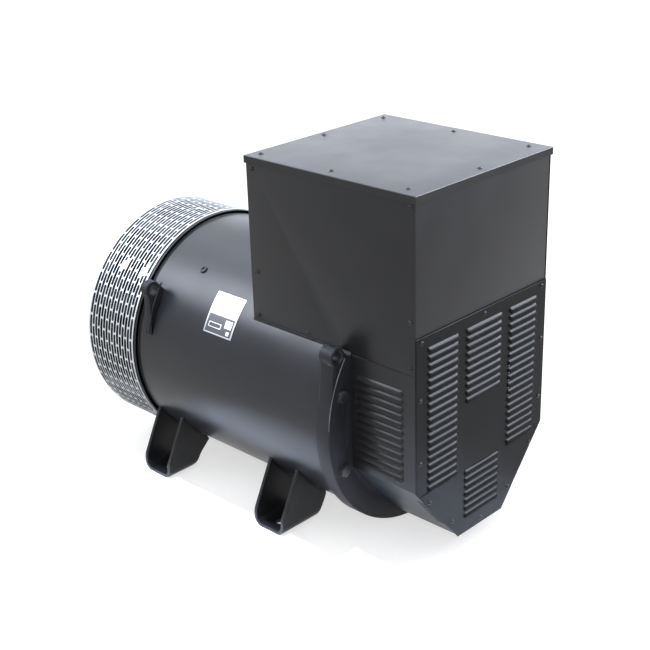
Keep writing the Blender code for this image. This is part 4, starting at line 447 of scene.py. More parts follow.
def standOnBarrel(x, angle, radius):
    # a frame whose z points out of the barrel at this angle above the -Y side
    c, s = math.cos(angle), math.sin(angle)
    return Matrix(((1, 0, 0, x), (0, s, -c, -radius * c), (0, c, s, radius * s), (0, 0, 0, 1)))


def studded(radii, heights, sides=24):
    # rings of (radius, height) stacked on their own z, closed at both ends
    t = np.arange(sides) * turn / sides
    radii, heights = np.asarray(radii, float)[:, None], np.asarray(heights, float)[:, None]
    return stacked(np.stack([radii * np.cos(t), radii * np.sin(t), heights + 0 * t], -1))


plug = {"x": -0.843, "angle": 52.5, "radius": 0.0120, "height": 0.0052, "socket": 0.0048, "depth": 0.0036}


def makePlug():
    # a domed head, stacked by shares of its radius and height, with a round socket sunk in it
    p = plug
    r, h = p["radius"], p["height"]
    body = studded([r, r, r * 0.96, r * 0.86, r * 0.66, p["socket"] * 1.15, p["socket"], p["socket"] * 0.92],
                   [-0.001, h * 0.35, h * 0.62, h * 0.88, h, h * 0.96, h - p["depth"] * 0.4, h - p["depth"]])
    place = standOnBarrel(p["x"], math.radians(p["angle"]), barrelRadius + 0.0003)
    piece("framePlug", moved(body, place), finishes["barrelEnamel"], stands=["frame_plug"],
          slot="charcoal_paint")


# Feet: a plate folded to a U; its edges slope in to the barrel above and curve in to the heel below
feet = {"floor": -0.366, "half": 0.0575, "plate": 0.010, "bend": 0.028, "toe": 0.364, "toeHeight": 0.048,
        "slopeTop": (0.280, -0.147), "holeY": 0.322, "holeRadius": 0.011, "edge": 0.0012}
footPlaces = {"front": (-0.942, 0.298), "rear": (-0.457, 0.262)}  # x of the middle, and y of the heel


def footSurface(x0, heel):
    # for each point of the folded line, a straight run from the inner edge out to the sloping edge
    f = feet
    floor, toeTop, seat = f["floor"], f["floor"] + f["toeHeight"], barrelRadius + 0.0004
    innerZ = np.array([floor, floor + 0.011, floor + 0.044, -0.262, -0.1])
    innerY = np.array([heel, heel - 0.038, heel - 0.060, 0.172, 0.02])

    def slope(z):
        # y of the outer edge: upright up to the toe's height, then straight in towards the barrel
        topY, topZ = f["slopeTop"]
        return f["toe"] - (f["toe"] - topY) * np.clip((z - toeTop) / (topZ - toeTop), 0, 2)

    def reach(z):
        # y of the barrel at this height
        return np.sqrt(np.maximum(seat ** 2 - z ** 2, 0))

    zs = np.linspace(-0.25, -0.10, 400)
    top = zs[np.argmax(slope(zs) <= reach(zs))]

    def sheet(offset):
        # the U, this far inside its outer face: down a web, round the bend, along the base and up again
        bend = f["bend"] - offset
        t = np.linspace(0, np.pi / 2, 9)
        web = np.linspace(top, floor + f["bend"], 14)
        x = np.concatenate([np.full(13, -f["half"] + offset), -f["half"] + f["bend"] - bend * np.cos(t),
                            [0.0]])
        z = np.concatenate([web[:-1], floor + f["bend"] - bend * np.sin(t), [floor + offset]])
        x, z = np.concatenate([x, -x[-2::-1]]), np.concatenate([z, z[-2::-1]])
        low = np.maximum(np.interp(z, innerZ, innerY), reach(z))
        high = np.maximum(slope(z), low + 1e-4)
        s = np.linspace(0, 1, 14)[None, :]
        across = low[:, None] * (1 - s) + high[:, None] * s
        return np.stack(np.broadcast_arrays(x0 + x[:, None], -across, z[:, None]), -1)

    return stacked(np.concatenate([sheet(0.0), sheet(f["plate"])[:, ::-1]], 1))


def makeFeet():
    # the U, then its bolt hole through the base, then all its edges broken
    f = feet
    for end, (x, heel) in footPlaces.items():
        surfaces = footSurface(x, heel)
        for side, y, made in (("left", -f["holeY"], surfaces), ("right", f["holeY"], mirroredY(surfaces))):
            item = piece(f"{end}Foot{side.title()}", made, finishes["footEnamel"],
                         stands=[f"{end}_foot_{side}"], sharp=30, slot="foot_paint")
            drilled(item, [Matrix.Translation((x, y, f["floor"] + f["plate"] / 2))],
                    f["holeRadius"], 0.02, 32)
            edges = item.modifiers.new("edges", "BEVEL")
            edges.width, edges.segments, edges.limit_method = f["edge"], 2, "ANGLE"
            edges.angle_limit, edges.use_clamp_overlap = math.radians(40), True
            settle(item)
            smoothed(item, 50)


# Lifting eyes: a round eye over the rim with a long tail running down onto it
eye = {"angle": 34.5, "tail": 13.7, "shoulder": 37.0, "circle": 0.387, "hole": 0.015, "outer": 0.026,
       "earFront": -0.9725}


def polar(angle, radius):
    return np.array([-radius * np.cos(angle), radius * np.sin(angle)]).T


def eyeOutline(surface, root):
    # the tail's edge is a straight run from the eye's round to the rim, the foot follows the rim
    # the eye's angles are in degrees, and its sizes stay as they are
    e = {key: math.radians(value) if value > 1 else value for key, value in eye.items()}
    centre = polar(e["angle"], e["circle"])
    out = math.pi - e["angle"]
    t = out + np.linspace(-0.5 * np.pi, 0.45 * np.pi, 28)
    head = centre + e["outer"] * np.stack([np.cos(t), np.sin(t)], 1)
    foot = polar(np.linspace(e["tail"], e["shoulder"], 14), root)
    tail = polar(np.array([e["tail"]]), surface)
    return dense(np.concatenate([head, tail, foot]), 0.004), centre


rib = {"x": -0.9475, "radius": 0.0028, "angles": (14.6, 20.0, 25.3, 32.6, 39.0),
       "heights": (0.358, 0.3625, 0.3652, 0.367, 0.3705)}


def earRib():
    # a tube along a smooth line on the ear's rear face, from the tail up to the eye, with its ends sunk in
    r = rib
    angles = np.radians(np.linspace(r["angles"][0], r["angles"][-1], 24))
    heights = np.interp(np.degrees(angles), r["angles"], r["heights"])
    line = polar(angles, 1.0) * heights[:, None]
    ahead = np.gradient(line, axis=0)
    ahead /= np.linalg.norm(ahead, axis=1, keepdims=True)
    side = np.stack([ahead[:, 1], -ahead[:, 0]], 1)
    t = np.arange(12) * turn / 12
    ring = r["radius"] * np.stack([np.sin(t), np.cos(t)], 1)
    tube = np.stack([r["x"] + ring[None, :, 0] + 0 * angles[:, None],
                     line[:, None, 0] + side[:, None, 0] * ring[None, :, 1],
                     line[:, None, 1] + side[:, None, 1] * ring[None, :, 1]], -1)
    return stacked(tube)


def makeEars():
    # the eye's outline as a plate with a hole, and its rib
    outline, centre = eyeOutline(barrelRadius + 0.0005, barrelRadius + 0.0004)
    ear = holedSlab(outline, centre, eye["hole"], eye["earFront"], rib["x"], 0.002, onRear)
    pair("liftingEar", "lifting_ear", ear + earRib(), finishes["castEnamel"])


# Rear bracket: a cast ring with a hub and six arms, and a lifting lug on each side
bracket = {"front": -0.2627, "rear": -0.216, "radius": 0.361, "window": 0.296, "hub": 0.122,
           "hubFront": -0.262, "hubRear": -0.206, "bore": 0.0903, "shaftHole": 0.056, "shoulder": -0.2476,
           "arms": 6, "armWidth": 0.050, "armThickness": 0.030, "edge": 0.003, "web": 0.008,
           "webBore": 0.262, "trim": 36.5}


def makeBracket():
    # ring, web and hub turned about the shaft line, arms as bars along z set round it, and the two lugs
    b = bracket
    c = b["edge"]
    ring = rounded([(b["front"], b["window"]), (b["front"], b["radius"]), (b["rear"], b["radius"]),
                    (b["rear"], b["window"])], [c, 0.001, c, c])
    hub = rounded([(b["hubFront"], b["shaftHole"]), (b["hubFront"], b["hub"]), (b["hubRear"], b["hub"]),
                   (b["hubRear"], b["bore"]), (b["shoulder"], b["bore"]), (b["shoulder"], b["shaftHole"])],
                  0.002)
    webFront, webRear, webOut = b["rear"] - b["web"], b["rear"] - 0.0004, b["window"] + 0.002
    web = rounded([(webFront, b["webBore"]), (webFront, webOut), (webRear, webOut), (webRear, b["webBore"])],
                  [0.001, 0.0003, 0.0003, 0.001])
    rim, rimFaces = turned(ring, 192)
    # the top of the ring, inside the terminal box, is cut back to the barrel's radius
    distance = np.hypot(rim[:, 1], rim[:, 2])
    high = rim[:, 2] > distance * np.sin(np.radians(b["trim"]))
    rim[:, 1:] *= (np.where(high, np.minimum(distance, barrelRadius), distance) / distance)[:, None]
    surfaces = [(rim, rimFaces), turned(web, 160), turned(hub, 96)]
    middle, half, wide = (b["front"] + b["rear"]) / 2, b["armThickness"] / 2, b["armWidth"] / 2
    arm = rounded([(middle - half, -wide), (middle + half, -wide), (middle + half, wide),
                   (middle - half, wide)], 0.006)
    reach = np.array([b["hub"] - 0.006, b["window"] + 0.006])[:, None]
    spar = stacked(np.stack(np.broadcast_arrays(arm[None, :, 0], arm[None, :, 1], reach), -1))
    for k in range(b["arms"]):
        surfaces += moved(spar, Matrix.Rotation(turn * (k + 0.5) / b["arms"], 4, "X"))
    outline, centre = eyeOutline(b["radius"] - 0.001, b["radius"] - 0.010)
    lug = holedSlab(outline, centre, eye["hole"], b["front"] + 0.001, b["rear"] - 0.0012, 0.004, onRear)
    surfaces += lug + mirroredY(lug)
    piece("rearBracket", surfaces, finishes["castEnamel"], stands=["rear_bracket"], slot="charcoal_paint")
    # the machined rear edge of the ring, as a narrow bright line on the plate side only: a painted highlight
    # where the light catches the edge
    corner = np.array([(b["rear"] - 0.0014, b["radius"] - 0.0004), (b["rear"] - 0.0008, b["radius"] - 0.0007),
                       (b["rear"] - 0.0005, b["radius"] - 0.0013)])
    strip = onRound(corner[:, :1], np.radians(np.linspace(4, 35.5, 40)), corner[:, 1:])
    piece("ringEdgeHighlight", [gridSurface(strip)], finishes["edgeHighlight"], wall=0.0003, wallOffset=0)


bolt = {"flats": 0.030, "head": 0.0115, "washer": 0.0175, "washerThick": 0.0025, "circle": 0.327,
        "angle": 19.2}


def hexBolt(flats, head, washer):
    # a hexagon cut back by a cone, the smaller radius of the two at each height, on a round washer
    t = np.arange(48) * turn / 48
    hexagon = flats / 2 / np.cos((t % (turn / 6)) - turn / 12)
    cone = flats / 2 * np.array([9.0, 9.0, 1.08, 0.94])[:, None]
    r = np.minimum(hexagon, cone)
    heights = head * np.array([0.0, 0.82, 0.93, 1.0])[:, None] + (bolt["washerThick"] if washer else 0.0)
    made = stacked(np.stack([r * np.cos(t), r * np.sin(t), heights + 0 * t], -1))
    if washer:
        made += studded([washer - 0.0005, washer, washer, washer - 0.0005], [0.0, 0.0005, 0.002, 0.0025], 40)
    return made


def makeBracketBolts():
    # six bolts on one circle, each with its hexagon left at another turn
    b = bolt
    tilt = math.radians(b["angle"])
    side = math.pi / 2 - tilt
    one = hexBolt(b["flats"], b["head"] - b["washerThick"], b["washer"])
    for k, angle in enumerate([side, math.pi - side, -side, side - math.pi, tilt, -tilt]):
        place = onFace(angle, bracket["rear"], b["circle"], 1) @ Matrix.Rotation(0.3 + 0.9 * k, 4, "Z")
        piece(f"bracketBolt{k + 1}", moved(one, place), finishes["boltCoat"],
              stands=[f"bracket_bolt_{k + 1}"], slot="black_bolts")


makeBarrel()
makePlug()
makeFeet()
makeEars()
makeBracket()
makeBracketBolts()
print("frame, feet and bracket made")


# Engine adaptor: a ring with eight windows between a drilled front flange and the rear flange
adaptor = {"face": -1.2363, "rear": -1.0033, "radius": 0.3556, "spigot": 0.32385, "groove": 0.3452,
           "grooveLength": 0.009, "window": 0.150, "windowWidth": 0.212, "windows": 8, "bolts": 16,
           "boltCircle": 0.339725, "boltHole": 0.0058}


def makeAdaptor():
    # a drum with windows between two turned rings
    a = adaptor
    flangeRear = a["rear"] - a["grooveLength"]
    middle = (a["face"] + flangeRear) / 2
    low, high = middle - a["window"] / 2, middle + a["window"] / 2
    # the drum is a grid of (x, angle) without the cells of the windows, and its wall comes last
    xs = np.concatenate([[a["face"] + 0.001], np.linspace(low, high, 7), [flangeRear]])
    half = math.asin(a["windowWidth"] / 2 / a["radius"])
    pitch = turn / a["windows"]
    lines = np.concatenate([np.linspace(-half, half, 17), np.linspace(half, pitch - half, 5)[1:-1]])
    t = (lines[None, :] + np.arange(a["windows"])[:, None] * pitch).ravel() + math.pi / 2
    keep = np.ones((len(xs) - 1, len(t)), bool)
    keep[1:7] = np.arange(len(t)) % len(lines) >= 16
    drum = gridSurface(onRound(xs[:, None], t, a["radius"] - 0.0004), closeColumns=True, keep=keep)
    piece("adaptorDrum", [drum], finishes["footEnamel"], stands=["engine_adaptor"],
          wall=a["radius"] - a["spigot"] - 0.001, sharp=30, slot="charcoal_paint")
    front = rounded([(a["face"], a["spigot"]), (a["face"], a["radius"]), (a["face"] + 0.02, a["radius"]),
                     (a["face"] + 0.02, a["spigot"])], [0.0015, 0.0015, 0.0005, 0.0005])
    flange = piece("adaptorFlange", [turned(front, 192)], finishes["castEnamel"], slot="charcoal_paint")
    rear = rounded([(flangeRear - 0.012, 0.305), (flangeRear - 0.012, a["radius"] - 0.001),
                    (flangeRear, a["radius"]), (flangeRear, a["groove"]), (a["rear"], a["groove"]),
                    (a["rear"], 0.305)],
                   [0.001, 0.0005, 0.0012, 0.0012, 0.0008, 0.001])
    piece("adaptorRearRing", [turned(rear, 192)], finishes["footEnamel"], slot="charcoal_paint")
    places = [onFace(turn * (k + 0.5) / a["bolts"], a["face"], a["boltCircle"], 1) for k in range(a["bolts"])]
    drilled(flange, places, a["boltHole"], 0.08, 20)
    smoothed(flange, 35)


# Fan screen: a perforated band with staggered slots, each a straight run with round ends
screen = {"front": -1.2353, "rear": -1.0213, "radius": 0.3574, "sheet": 0.0010, "rows": 16, "around": 33,
          "slot": 0.0640, "slotHeight": 0.0103, "margin": 0.0040, "joint": 40.5}


def makeScreen():
    # Each cell is a ring of faces between its rectangle and its slot. A cell's rectangle has nine points
    # along each long side, so a half-pitch step from row to row still lands on the neighbours' points
    s = screen
    pitch, width = turn / s["around"], s["rear"] - s["front"] - 2 * s["margin"]
    row, r = width / s["rows"], s["slotHeight"] / 2
    halfSlot = s["slot"] / 2 / s["radius"]
    straight = halfSlot - r / s["radius"]
    u = np.linspace(-0.5, 0.5, 9) * pitch
    rect = np.concatenate([np.stack([u, 0 * u - row / 2], 1), [[pitch / 2, 0]],
                           np.stack([u[::-1], 0 * u + row / 2], 1), [[-pitch / 2, 0]]])
    inner, bite = np.linspace(-straight, straight, 7), r * math.sqrt(0.5)
    corner = straight + bite / s["radius"]
    lowSide = np.concatenate([[[-corner, -bite]], np.stack([inner, 0 * inner - r], 1), [[corner, -bite]]])
    slot = np.concatenate([lowSide, [[halfSlot, 0]], lowSide[::-1] * [1, -1], [[-halfSlot, 0]]])
    cell = np.stack([rect, slot])
    column, line = np.meshgrid(np.arange(s["around"]), np.arange(s["rows"]), indexing="ij")
    shift = (column + 0.5 * (line % 2)) * pitch
    angle = shift[..., None, None] + cell[None, None, :, :, 0] + math.radians(s["joint"])
    x = s["front"] + s["margin"] + (line + 0.5)[..., None, None] * row + cell[None, None, :, :, 1]
    ring = gridFaces(2, len(rect), closeColumns=True).reshape(-1, 4)
    starts = np.arange(s["around"] * s["rows"])[:, None, None] * 2 * len(rect)
    surfaces = [(onRound(x, angle, s["radius"]).reshape(-1, 3), [(starts + ring[None]).reshape(-1, 4)])]
    # the plain margins take the same points as the rows beside them
    t = np.arange(s["around"] * 16) * pitch / 16 + math.radians(s["joint"])
    for low in (s["front"], s["rear"] - s["margin"]):
        margin = onRound(np.array([low, low + s["margin"]])[:, None], t, s["radius"])
        surfaces.append(gridSurface(margin, closeColumns=True))
    piece("fanScreen", surfaces, finishes["brightBand"], stands=["fan_screen"], wall=s["sheet"],
          wallOffset=1, sharp=30, slot="bright_steel")


def bent(front, rear, low, high, radius, steps=24, lines=6):
    # a patch of a round surface between two places on the shaft line and two angles in degrees
    x, angle = np.linspace(front, rear, lines), np.radians(np.linspace(low, high, steps))
    return gridSurface(onRound(x[:, None], angle, radius))


patches = {"xs": (-1.150, -1.059), "angle": 40.5, "length": 0.036, "width": 0.0125, "step": (0.0134, 1.7189)}


def makePatches():
    # clamp plates over the joint of the band: two strips, stepped like the slots, with a screw between them
    p, r = patches, screen["radius"] + screen["sheet"] + 0.0001
    half = math.degrees(p["length"] / 2 / r)
    for k, x in enumerate(p["xs"]):
        strips = [bent(x + dx - p["width"] / 2, x + dx + p["width"] / 2, p["angle"] + da - half,
                       p["angle"] + da + half, r, 9, 2) for dx, da in ((0.0, 0.0), p["step"])]
        piece(f"bandClamp{k + 1}", strips, finishes["brightBand"], wall=0.0006, slot="bright_steel")
        place = standOnBarrel(x + 0.003, math.radians(p["angle"] + 4.2), r + 0.0002)
        screw = moved(screwHead(0.004, 0.0016), place)
        piece(f"bandScrew{k + 1}", screw, finishes["blackOxide"], slot="black_bolts")


def screwHead(radius, height, sides=20):
    # a low domed head, its radius and height on the arc of a circle, with a round socket pressed in its top
    t = np.linspace(0, 1, 5)
    radii = np.concatenate([[radius], radius * np.cos(t * 1.05) ** 0.8,
                            radius * np.array([0.38, 0.36, 0.05])])
    heights = np.concatenate([[-0.0005], height * np.sin(t * 1.05) / np.sin(1.05),
                              height * np.array([1, 0.45, 0.45])])
    return studded(radii, heights, sides)


makeAdaptor()
makeScreen()
makePatches()
print("adaptor and screen made")


# Terminal box: folded sheets with rounded edges, set together with a fine seam at each corner
box = {"front": -0.574, "rear": -0.0028, "half": 0.272, "sheet": 0.002, "seam": 0.214, "top": 0.6717,
       "recess": 0.004, "overBarrel": 0.2186, "overBracket": 0.2203, "bracket": (-0.2632, -0.2154),
       "rearLow": 0.3113}


def makeBoxPanels():
    # flat outlines as plates; the sides step over the barrel and the bracket's ring
    b = box
    ringFront, ringRear = b["bracket"]
    outline = np.array([(b["front"], b["overBarrel"]), (ringFront, b["overBarrel"]),
                        (ringFront, b["overBracket"]), (ringRear, b["overBracket"]), (ringRear, b["seam"]),
                        (b["rear"], b["seam"]), (b["rear"], b["top"]), (b["front"], b["top"])])
    pair("boxSide", "box_side", slab(outline, b["half"] - b["sheet"], b["half"], 0.0010, onLeft),
         finishes["sheetCoat"])
    half = b["half"] - b["sheet"] - 0.0016
    rear = np.array([(-half, b["rearLow"]), (half, b["rearLow"]), (half, b["top"]), (-half, b["top"])])
    panel = slab(rear, -b["recess"] - b["sheet"], -b["recess"], 0.0006, onRear)
    # the rear panel takes the paler copy of the coat, painted light
    piece("boxRearPanel", panel, finishes["litPanelCoat"], stands=["box_rear_panel"], slot="charcoal_paint")
    # the front panel's lower edge follows the barrel
    y = np.linspace(-half, half, 41)
    curve = np.column_stack([y, np.sqrt((barrelRadius + 0.0004) ** 2 - y ** 2)])
    front = np.concatenate([curve, [(half, b["top"]), (-half, b["top"])]])
    panel = slab(front, b["front"], b["front"] + b["sheet"], 0.0005, onRear)
    piece("boxFrontPanel", panel, finishes["sheetCoat"], stands=["box_front_panel"], slot="charcoal_paint")


lid = {"front": -0.578, "rear": 0.0012, "half": 0.276, "rim": 0.674, "apex": 0.678, "lip": 0.020,
       "sheet": 0.002, "bend": 0.0025, "cornerGap": 0.0007}


def makeLid():
    # a cross-broken sheet that rises to its middle, its four edges rolled down as lips with open corners
    l = lid
    bend = l["bend"]
    centre = np.array([(l["front"] + l["rear"]) / 2, 0.0])
    corners = np.array([(-1, -1), (1, -1), (1, 1), (-1, 1)]) * [(l["rear"] - l["front"]) / 2, l["half"]]
    share = np.array([1.0, 0.66, 0.33, 0.0])[:, None, None]
    flat = (corners - np.sign(corners) * bend) * share + centre
    height = l["apex"] - (l["apex"] - l["rim"]) * share + np.zeros((4, 4, 1))
    surfaces = [gridSurface(np.concatenate([flat, height], -1), closeColumns=True)]
    # a lip is a quarter roll and a straight drop; its ends draw out to the corner as it rolls
    t = np.linspace(0, np.pi / 2, 6)
    roll = np.stack([bend * (1 - np.sin(t)), -bend * (1 - np.cos(t))], 1)
    roll = np.concatenate([roll, [[0.0, -l["lip"]]]])
    share = np.minimum(np.arange(len(roll)) / 5, 1.0)[:, None, None]
    height = (l["rim"] + roll[:, 1])[:, None, None] + np.zeros((1, 2, 1))
    for k in range(4):
        a, b = corners[k] + centre, corners[(k + 1) % 4] + centre
        along = (b - a) / np.linalg.norm(b - a)
        inward = np.array([-along[1], along[0]])
        ends = np.stack([a + along * bend, b - along * bend])
        near = np.stack([a + along * l["cornerGap"], b - along * l["cornerGap"]])
        line = ends * (1 - share) + near * share + roll[:, 0, None, None] * inward
        surfaces.append(gridSurface(np.concatenate([line, height], -1)))
    piece("boxLid", surfaces, finishes["sheetCoat"], stands=["box_lid"], wall=l["sheet"], sharp=60,
          slot="charcoal_paint")


# Louvred panels: a flat grid pushed out into hoods
louvre = {"hood": 0.0132, "depth": 0.0068, "slot": 0.42, "endRun": 0.0075, "wall": 0.0018}
hoodSteps = np.array([0.0, 0.10, 0.22, 0.38, 0.56, 0.76, 0.92, 1.0])


def louvreRise(steps):
    # how far a hood stands out, from its top edge to its lip: a quarter wave that flattens at the lip
    return np.sin(np.pi / 2 * np.minimum(steps * 1.12, 1.0)) ** 0.85


def hoodLines(tops):
    # for every line its v, the row that it belongs to, its share of the full depth, and whether it is at the
    # mouth. The first line is just above the hood and keeps the flat flat; the last two are the mouth's edges
    # on the sheet
    steps = np.concatenate([[-0.04], hoodSteps, [1.012, 1.0 + louvre["slot"]]])
    rise = np.concatenate([[0.0], louvreRise(hoodSteps), [0.0, 0.0]])
    mouth = np.arange(len(steps)) >= len(steps) - 3
    v = tops[:, None] - steps[None, :] * louvre["hood"]
    row = np.repeat(np.arange(len(tops)), len(steps))
    return v.ravel(), row, np.tile(rise, len(tops)), np.tile(mouth, len(tops))


def endLines(low, high):
    # u of the lines across one column of hoods, close together in the rounded ends
    s = 1 - np.cos(np.linspace(0, np.pi / 2, 7))
    run = louvre["endRun"]
    return np.concatenate([[low - 0.0006], low + run * s, np.linspace(low + run, high - run, 4)[1:-1],
                           high - run * s[::-1], [high + 0.0006]])


def endShare(u, low, high):
    # 1 along the hood and a quarter circle down to 0 at each end
    near = np.clip(np.minimum(u - low, high - u) / louvre["endRun"], 0, 1)
    return np.sqrt(np.maximum(1 - (1 - near) ** 2, 0))


def louvredGrid(columns, uEdges, vEdges, squeeze=None):
    # a sheet whose w is the sum of its hoods, each the product of its rise along v and its end share along u.
    # columns: dictionaries with low, high, tops. Every line of every hood runs across the whole sheet
    tops = np.unique(np.concatenate([c["tops"] for c in columns]).round(6))[::-1]
    v, row, rise, opens = hoodLines(tops)
    v = np.concatenate([[vEdges[1]], v, [vEdges[0]]])
    row, rise = np.concatenate([[-1], row, [-1]]), np.concatenate([[0], rise, [0]])
    opens = np.concatenate([[False], opens[:-1] & opens[1:], [False, False]])
    spans = sorted({(c["low"], c["high"]) for c in columns})
    u = np.unique(np.concatenate([uEdges] + [endLines(low, high) for low, high in spans]).round(6))
    w = np.zeros((len(v), len(u)))
    mouth = np.zeros((len(v) - 1, len(u) - 1), bool)
    for c in columns:
        has = np.concatenate([np.isin(tops.round(6), c["tops"].round(6)), [False]])[row]
        share = endShare(u, c["low"], c["high"]) * ((u >= c["low"]) & (u <= c["high"]))
        w += has[:, None] * rise[:, None] * share[None, :] * louvre["depth"]
        inside = (share[:-1] > 0.9) & (share[1:] > 0.9)
        mouth |= (opens & has)[:-1, None] & inside[None, :]
    uu, vv = np.broadcast_to(u, w.shape).copy(), np.broadcast_to(v[:, None], w.shape)
    if squeeze is not None:
        uu = squeeze(uu, vv)
    return np.stack([uu, vv, w], -1), ~mouth


cover = {"half": 0.272, "top": 0.311, "chamfer": -0.115, "bottom": -0.323, "bottomHalf": 0.096,
         "sheet": 0.0028, "edge": 0.0024, "flange": 0.012, "flangeInset": 0.0053, "flangeWall": 0.002,
         "narrowing": (-0.16, -0.128)}
rearLouvres = {"pitch": 0.0216, "top": 0.27825, "outer": (0.107, 0.227), "outerCount": 19, "middle": 0.074,
               "upperCount": 10, "lowerTop": -0.12975, "lowerCount": 7}


def coverOutline():
    c = cover
    return np.array([(-c["bottomHalf"], c["bottom"]), (c["bottomHalf"], c["bottom"]),
                     (c["half"], c["chamfer"]), (c["half"], c["top"]), (-c["half"], c["top"]),
                     (-c["half"], c["chamfer"])])


def makeRearCover():
    # the louvred sheet, its edges rolled back, and a flange behind them
    c, l = cover, rearLouvres
    rows = l["top"] - np.arange(l["outerCount"]) * l["pitch"]
    lower = l["lowerTop"] - np.arange(l["lowerCount"]) * l["pitch"]
    near, far = l["outer"]
    columns = [{"low": -far, "high": -near, "tops": rows}, {"low": near, "high": far, "tops": rows},
               {"low": -l["middle"], "high": l["middle"], "tops": rows[:l["upperCount"]]},
               {"low": -l["middle"], "high": l["middle"], "tops": lower}]
    edge = c["half"] - c["edge"]
    slope = (c["half"] - c["bottomHalf"]) / (c["chamfer"] - c["bottom"])

    def squeeze(u, v):
        # below the shoulders the sheet narrows: everything outside the fixed middle closes up evenly
        width = edge - np.maximum(c["chamfer"] - v, 0) * slope
        fixed = np.minimum(np.interp(v, c["narrowing"], [l["middle"] + 0.01, far]), width)
        out = np.clip((np.abs(u) - fixed) / (edge - fixed), 0, 1)
        return np.where(np.abs(u) <= fixed, u, np.sign(u) * (fixed + out * (width - fixed)))

    extra = np.array([-edge, -0.25, -0.09, 0.09, 0.25, edge])
    points, keep = louvredGrid(columns, extra, (c["bottom"] + c["edge"], c["top"] - c["edge"]), squeeze)
    sheet = gridSurface(onRear(points), keep=keep)
    t = np.linspace(0, np.pi / 2, 4)
    roll = np.stack([c["edge"] * (1 - np.sin(t)), -c["edge"] * (1 - np.cos(t))], 1)
    rim = rimmed(coverOutline(), np.concatenate([roll, [(0.0, -c["sheet"])]]))
    # the louvred sheet and its flange take the darker copy of the coat, painted shade
    piece("rearLouvreCover", [sheet, gridSurface(onRear(rim), closeColumns=True)], finishes["shadedHoodCoat"],
          stands=["rear_louvre_cover"], wall=louvre["wall"], sharp=42, slot="charcoal_paint")
    outside, inside = c["flangeInset"], c["flangeInset"] + c["flangeWall"]
    near, far = -c["sheet"], -c["sheet"] - c["flange"]
    flange = rimmed(coverOutline(), [(outside, near), (outside, far), (inside, far), (inside, near)])
    piece("coverFlange", [gridSurface(onRear(flange), closeRows=True, closeColumns=True)],
          finishes["shadedHoodCoat"], slot="charcoal_paint")


sidePanel = {"front": -0.2154, "rear": -0.0028, "low": -0.1147, "high": 0.2133, "half": 0.272,
             "louvreFront": -0.198, "louvreRear": -0.042, "top": 0.16425, "count": 12, "pitch": 0.0221,
             "edge": 0.0012}


def makeSidePanels():
    # the louvred sheet in the side's plane, with its edges rolled back
    s, e = sidePanel, sidePanel["edge"]
    tops = s["top"] - np.arange(s["count"]) * s["pitch"]
    columns = [{"low": s["louvreFront"], "high": s["louvreRear"], "tops": tops}]
    points, keep = louvredGrid(columns, np.array([s["front"] + e, s["rear"] - e]),
                               (s["low"] + e, s["high"] - e))
    points[..., 2] += s["half"]
    t = np.linspace(0, np.pi / 2, 4)
    roll = np.stack([e * (1 - np.sin(t)), s["half"] - e * (1 - np.cos(t))], 1)
    outline = np.array([(s["front"], s["low"]), (s["rear"], s["low"]), (s["rear"], s["high"]),
                        (s["front"], s["high"])])
    rim = rimmed(outline, np.concatenate([roll, [(0.0, s["half"] - 0.002)]]))
    surfaces = [gridSurface(onLeft(points), keep=keep), gridSurface(onLeft(rim), closeColumns=True)]
    pair("sideLouvrePanel", "side_louvre_panel", surfaces, finishes["sheetCoat"],
         wall=louvre["wall"], sharp=42)


# Belly pan: a sheet folded down the chamfers and across the bottom, with vent slots by its rear edge
pan = {"front": -0.2157, "rear": -0.0030, "inset": 0.003, "half": 0.2697, "lip": 0.026, "sheet": 0.002,
       "slots": 8, "slotPitch": 0.0170, "slotWidth": 0.0085, "slotFrom": 0.006, "slotLength": 0.030}


def makePan():
    # the sheet's folded line, carried from its rear edge forwards; cells left out of the grid are vent slots
    p = pan
    outline = inset(coverOutline(), p["inset"])
    lipY, chamferZ = p["half"], outline[2][1]
    path = np.array([(-lipY, chamferZ + p["lip"]), (-lipY, chamferZ), outline[0], outline[1],
                     (lipY, chamferZ), (lipY, chamferZ + p["lip"])])
    path = rounded(path, [0, 0.004, 0.006, 0.006, 0.004, 0], closed=False)
    along = np.concatenate([[0], np.cumsum(np.linalg.norm(np.diff(path, axis=0), axis=1))])
    middle = along[-1] / 2
    chamferMiddle = 0.5 * (np.hypot(*(outline[1] - outline[0])) + np.hypot(*(outline[2] - outline[1])))
    starts = chamferMiddle - p["slotPitch"] * (p["slots"] - 1) / 2 + np.arange(p["slots"]) * p["slotPitch"]
    edges = np.concatenate([starts - p["slotWidth"] / 2, starts + p["slotWidth"] / 2])
    edges = np.concatenate([middle - edges, middle + edges])
    cuts = np.unique(np.concatenate([along, edges]).round(7))
    line = np.stack([np.interp(cuts, along, path[:, k]) for k in (0, 1)], 1)
    xs = np.array([p["rear"], p["rear"] - p["slotFrom"], p["rear"] - p["slotFrom"] - p["slotLength"],
                   p["front"]])
    middles = np.abs((cuts[:-1] + cuts[1:]) / 2 - middle)
    inSlot = (np.abs(middles[:, None] - starts[None, :]) < p["slotWidth"] / 2).any(1)
    keep = np.ones((3, len(cuts) - 1), bool)
    keep[1] = ~inSlot
    # the pan takes the paler, bluer copy of the coat, painted bounce light
    piece("bellyPan", [gridSurface(swept(xs, line), keep=keep)], finishes["bounceLitPanCoat"], stands=["belly_pan"],
          wall=p["sheet"], sharp=50, slot="charcoal_paint")


makeBoxPanels()
makeLid()
makeRearCover()
makeSidePanels()
makePan()
print("terminal box and hood made")


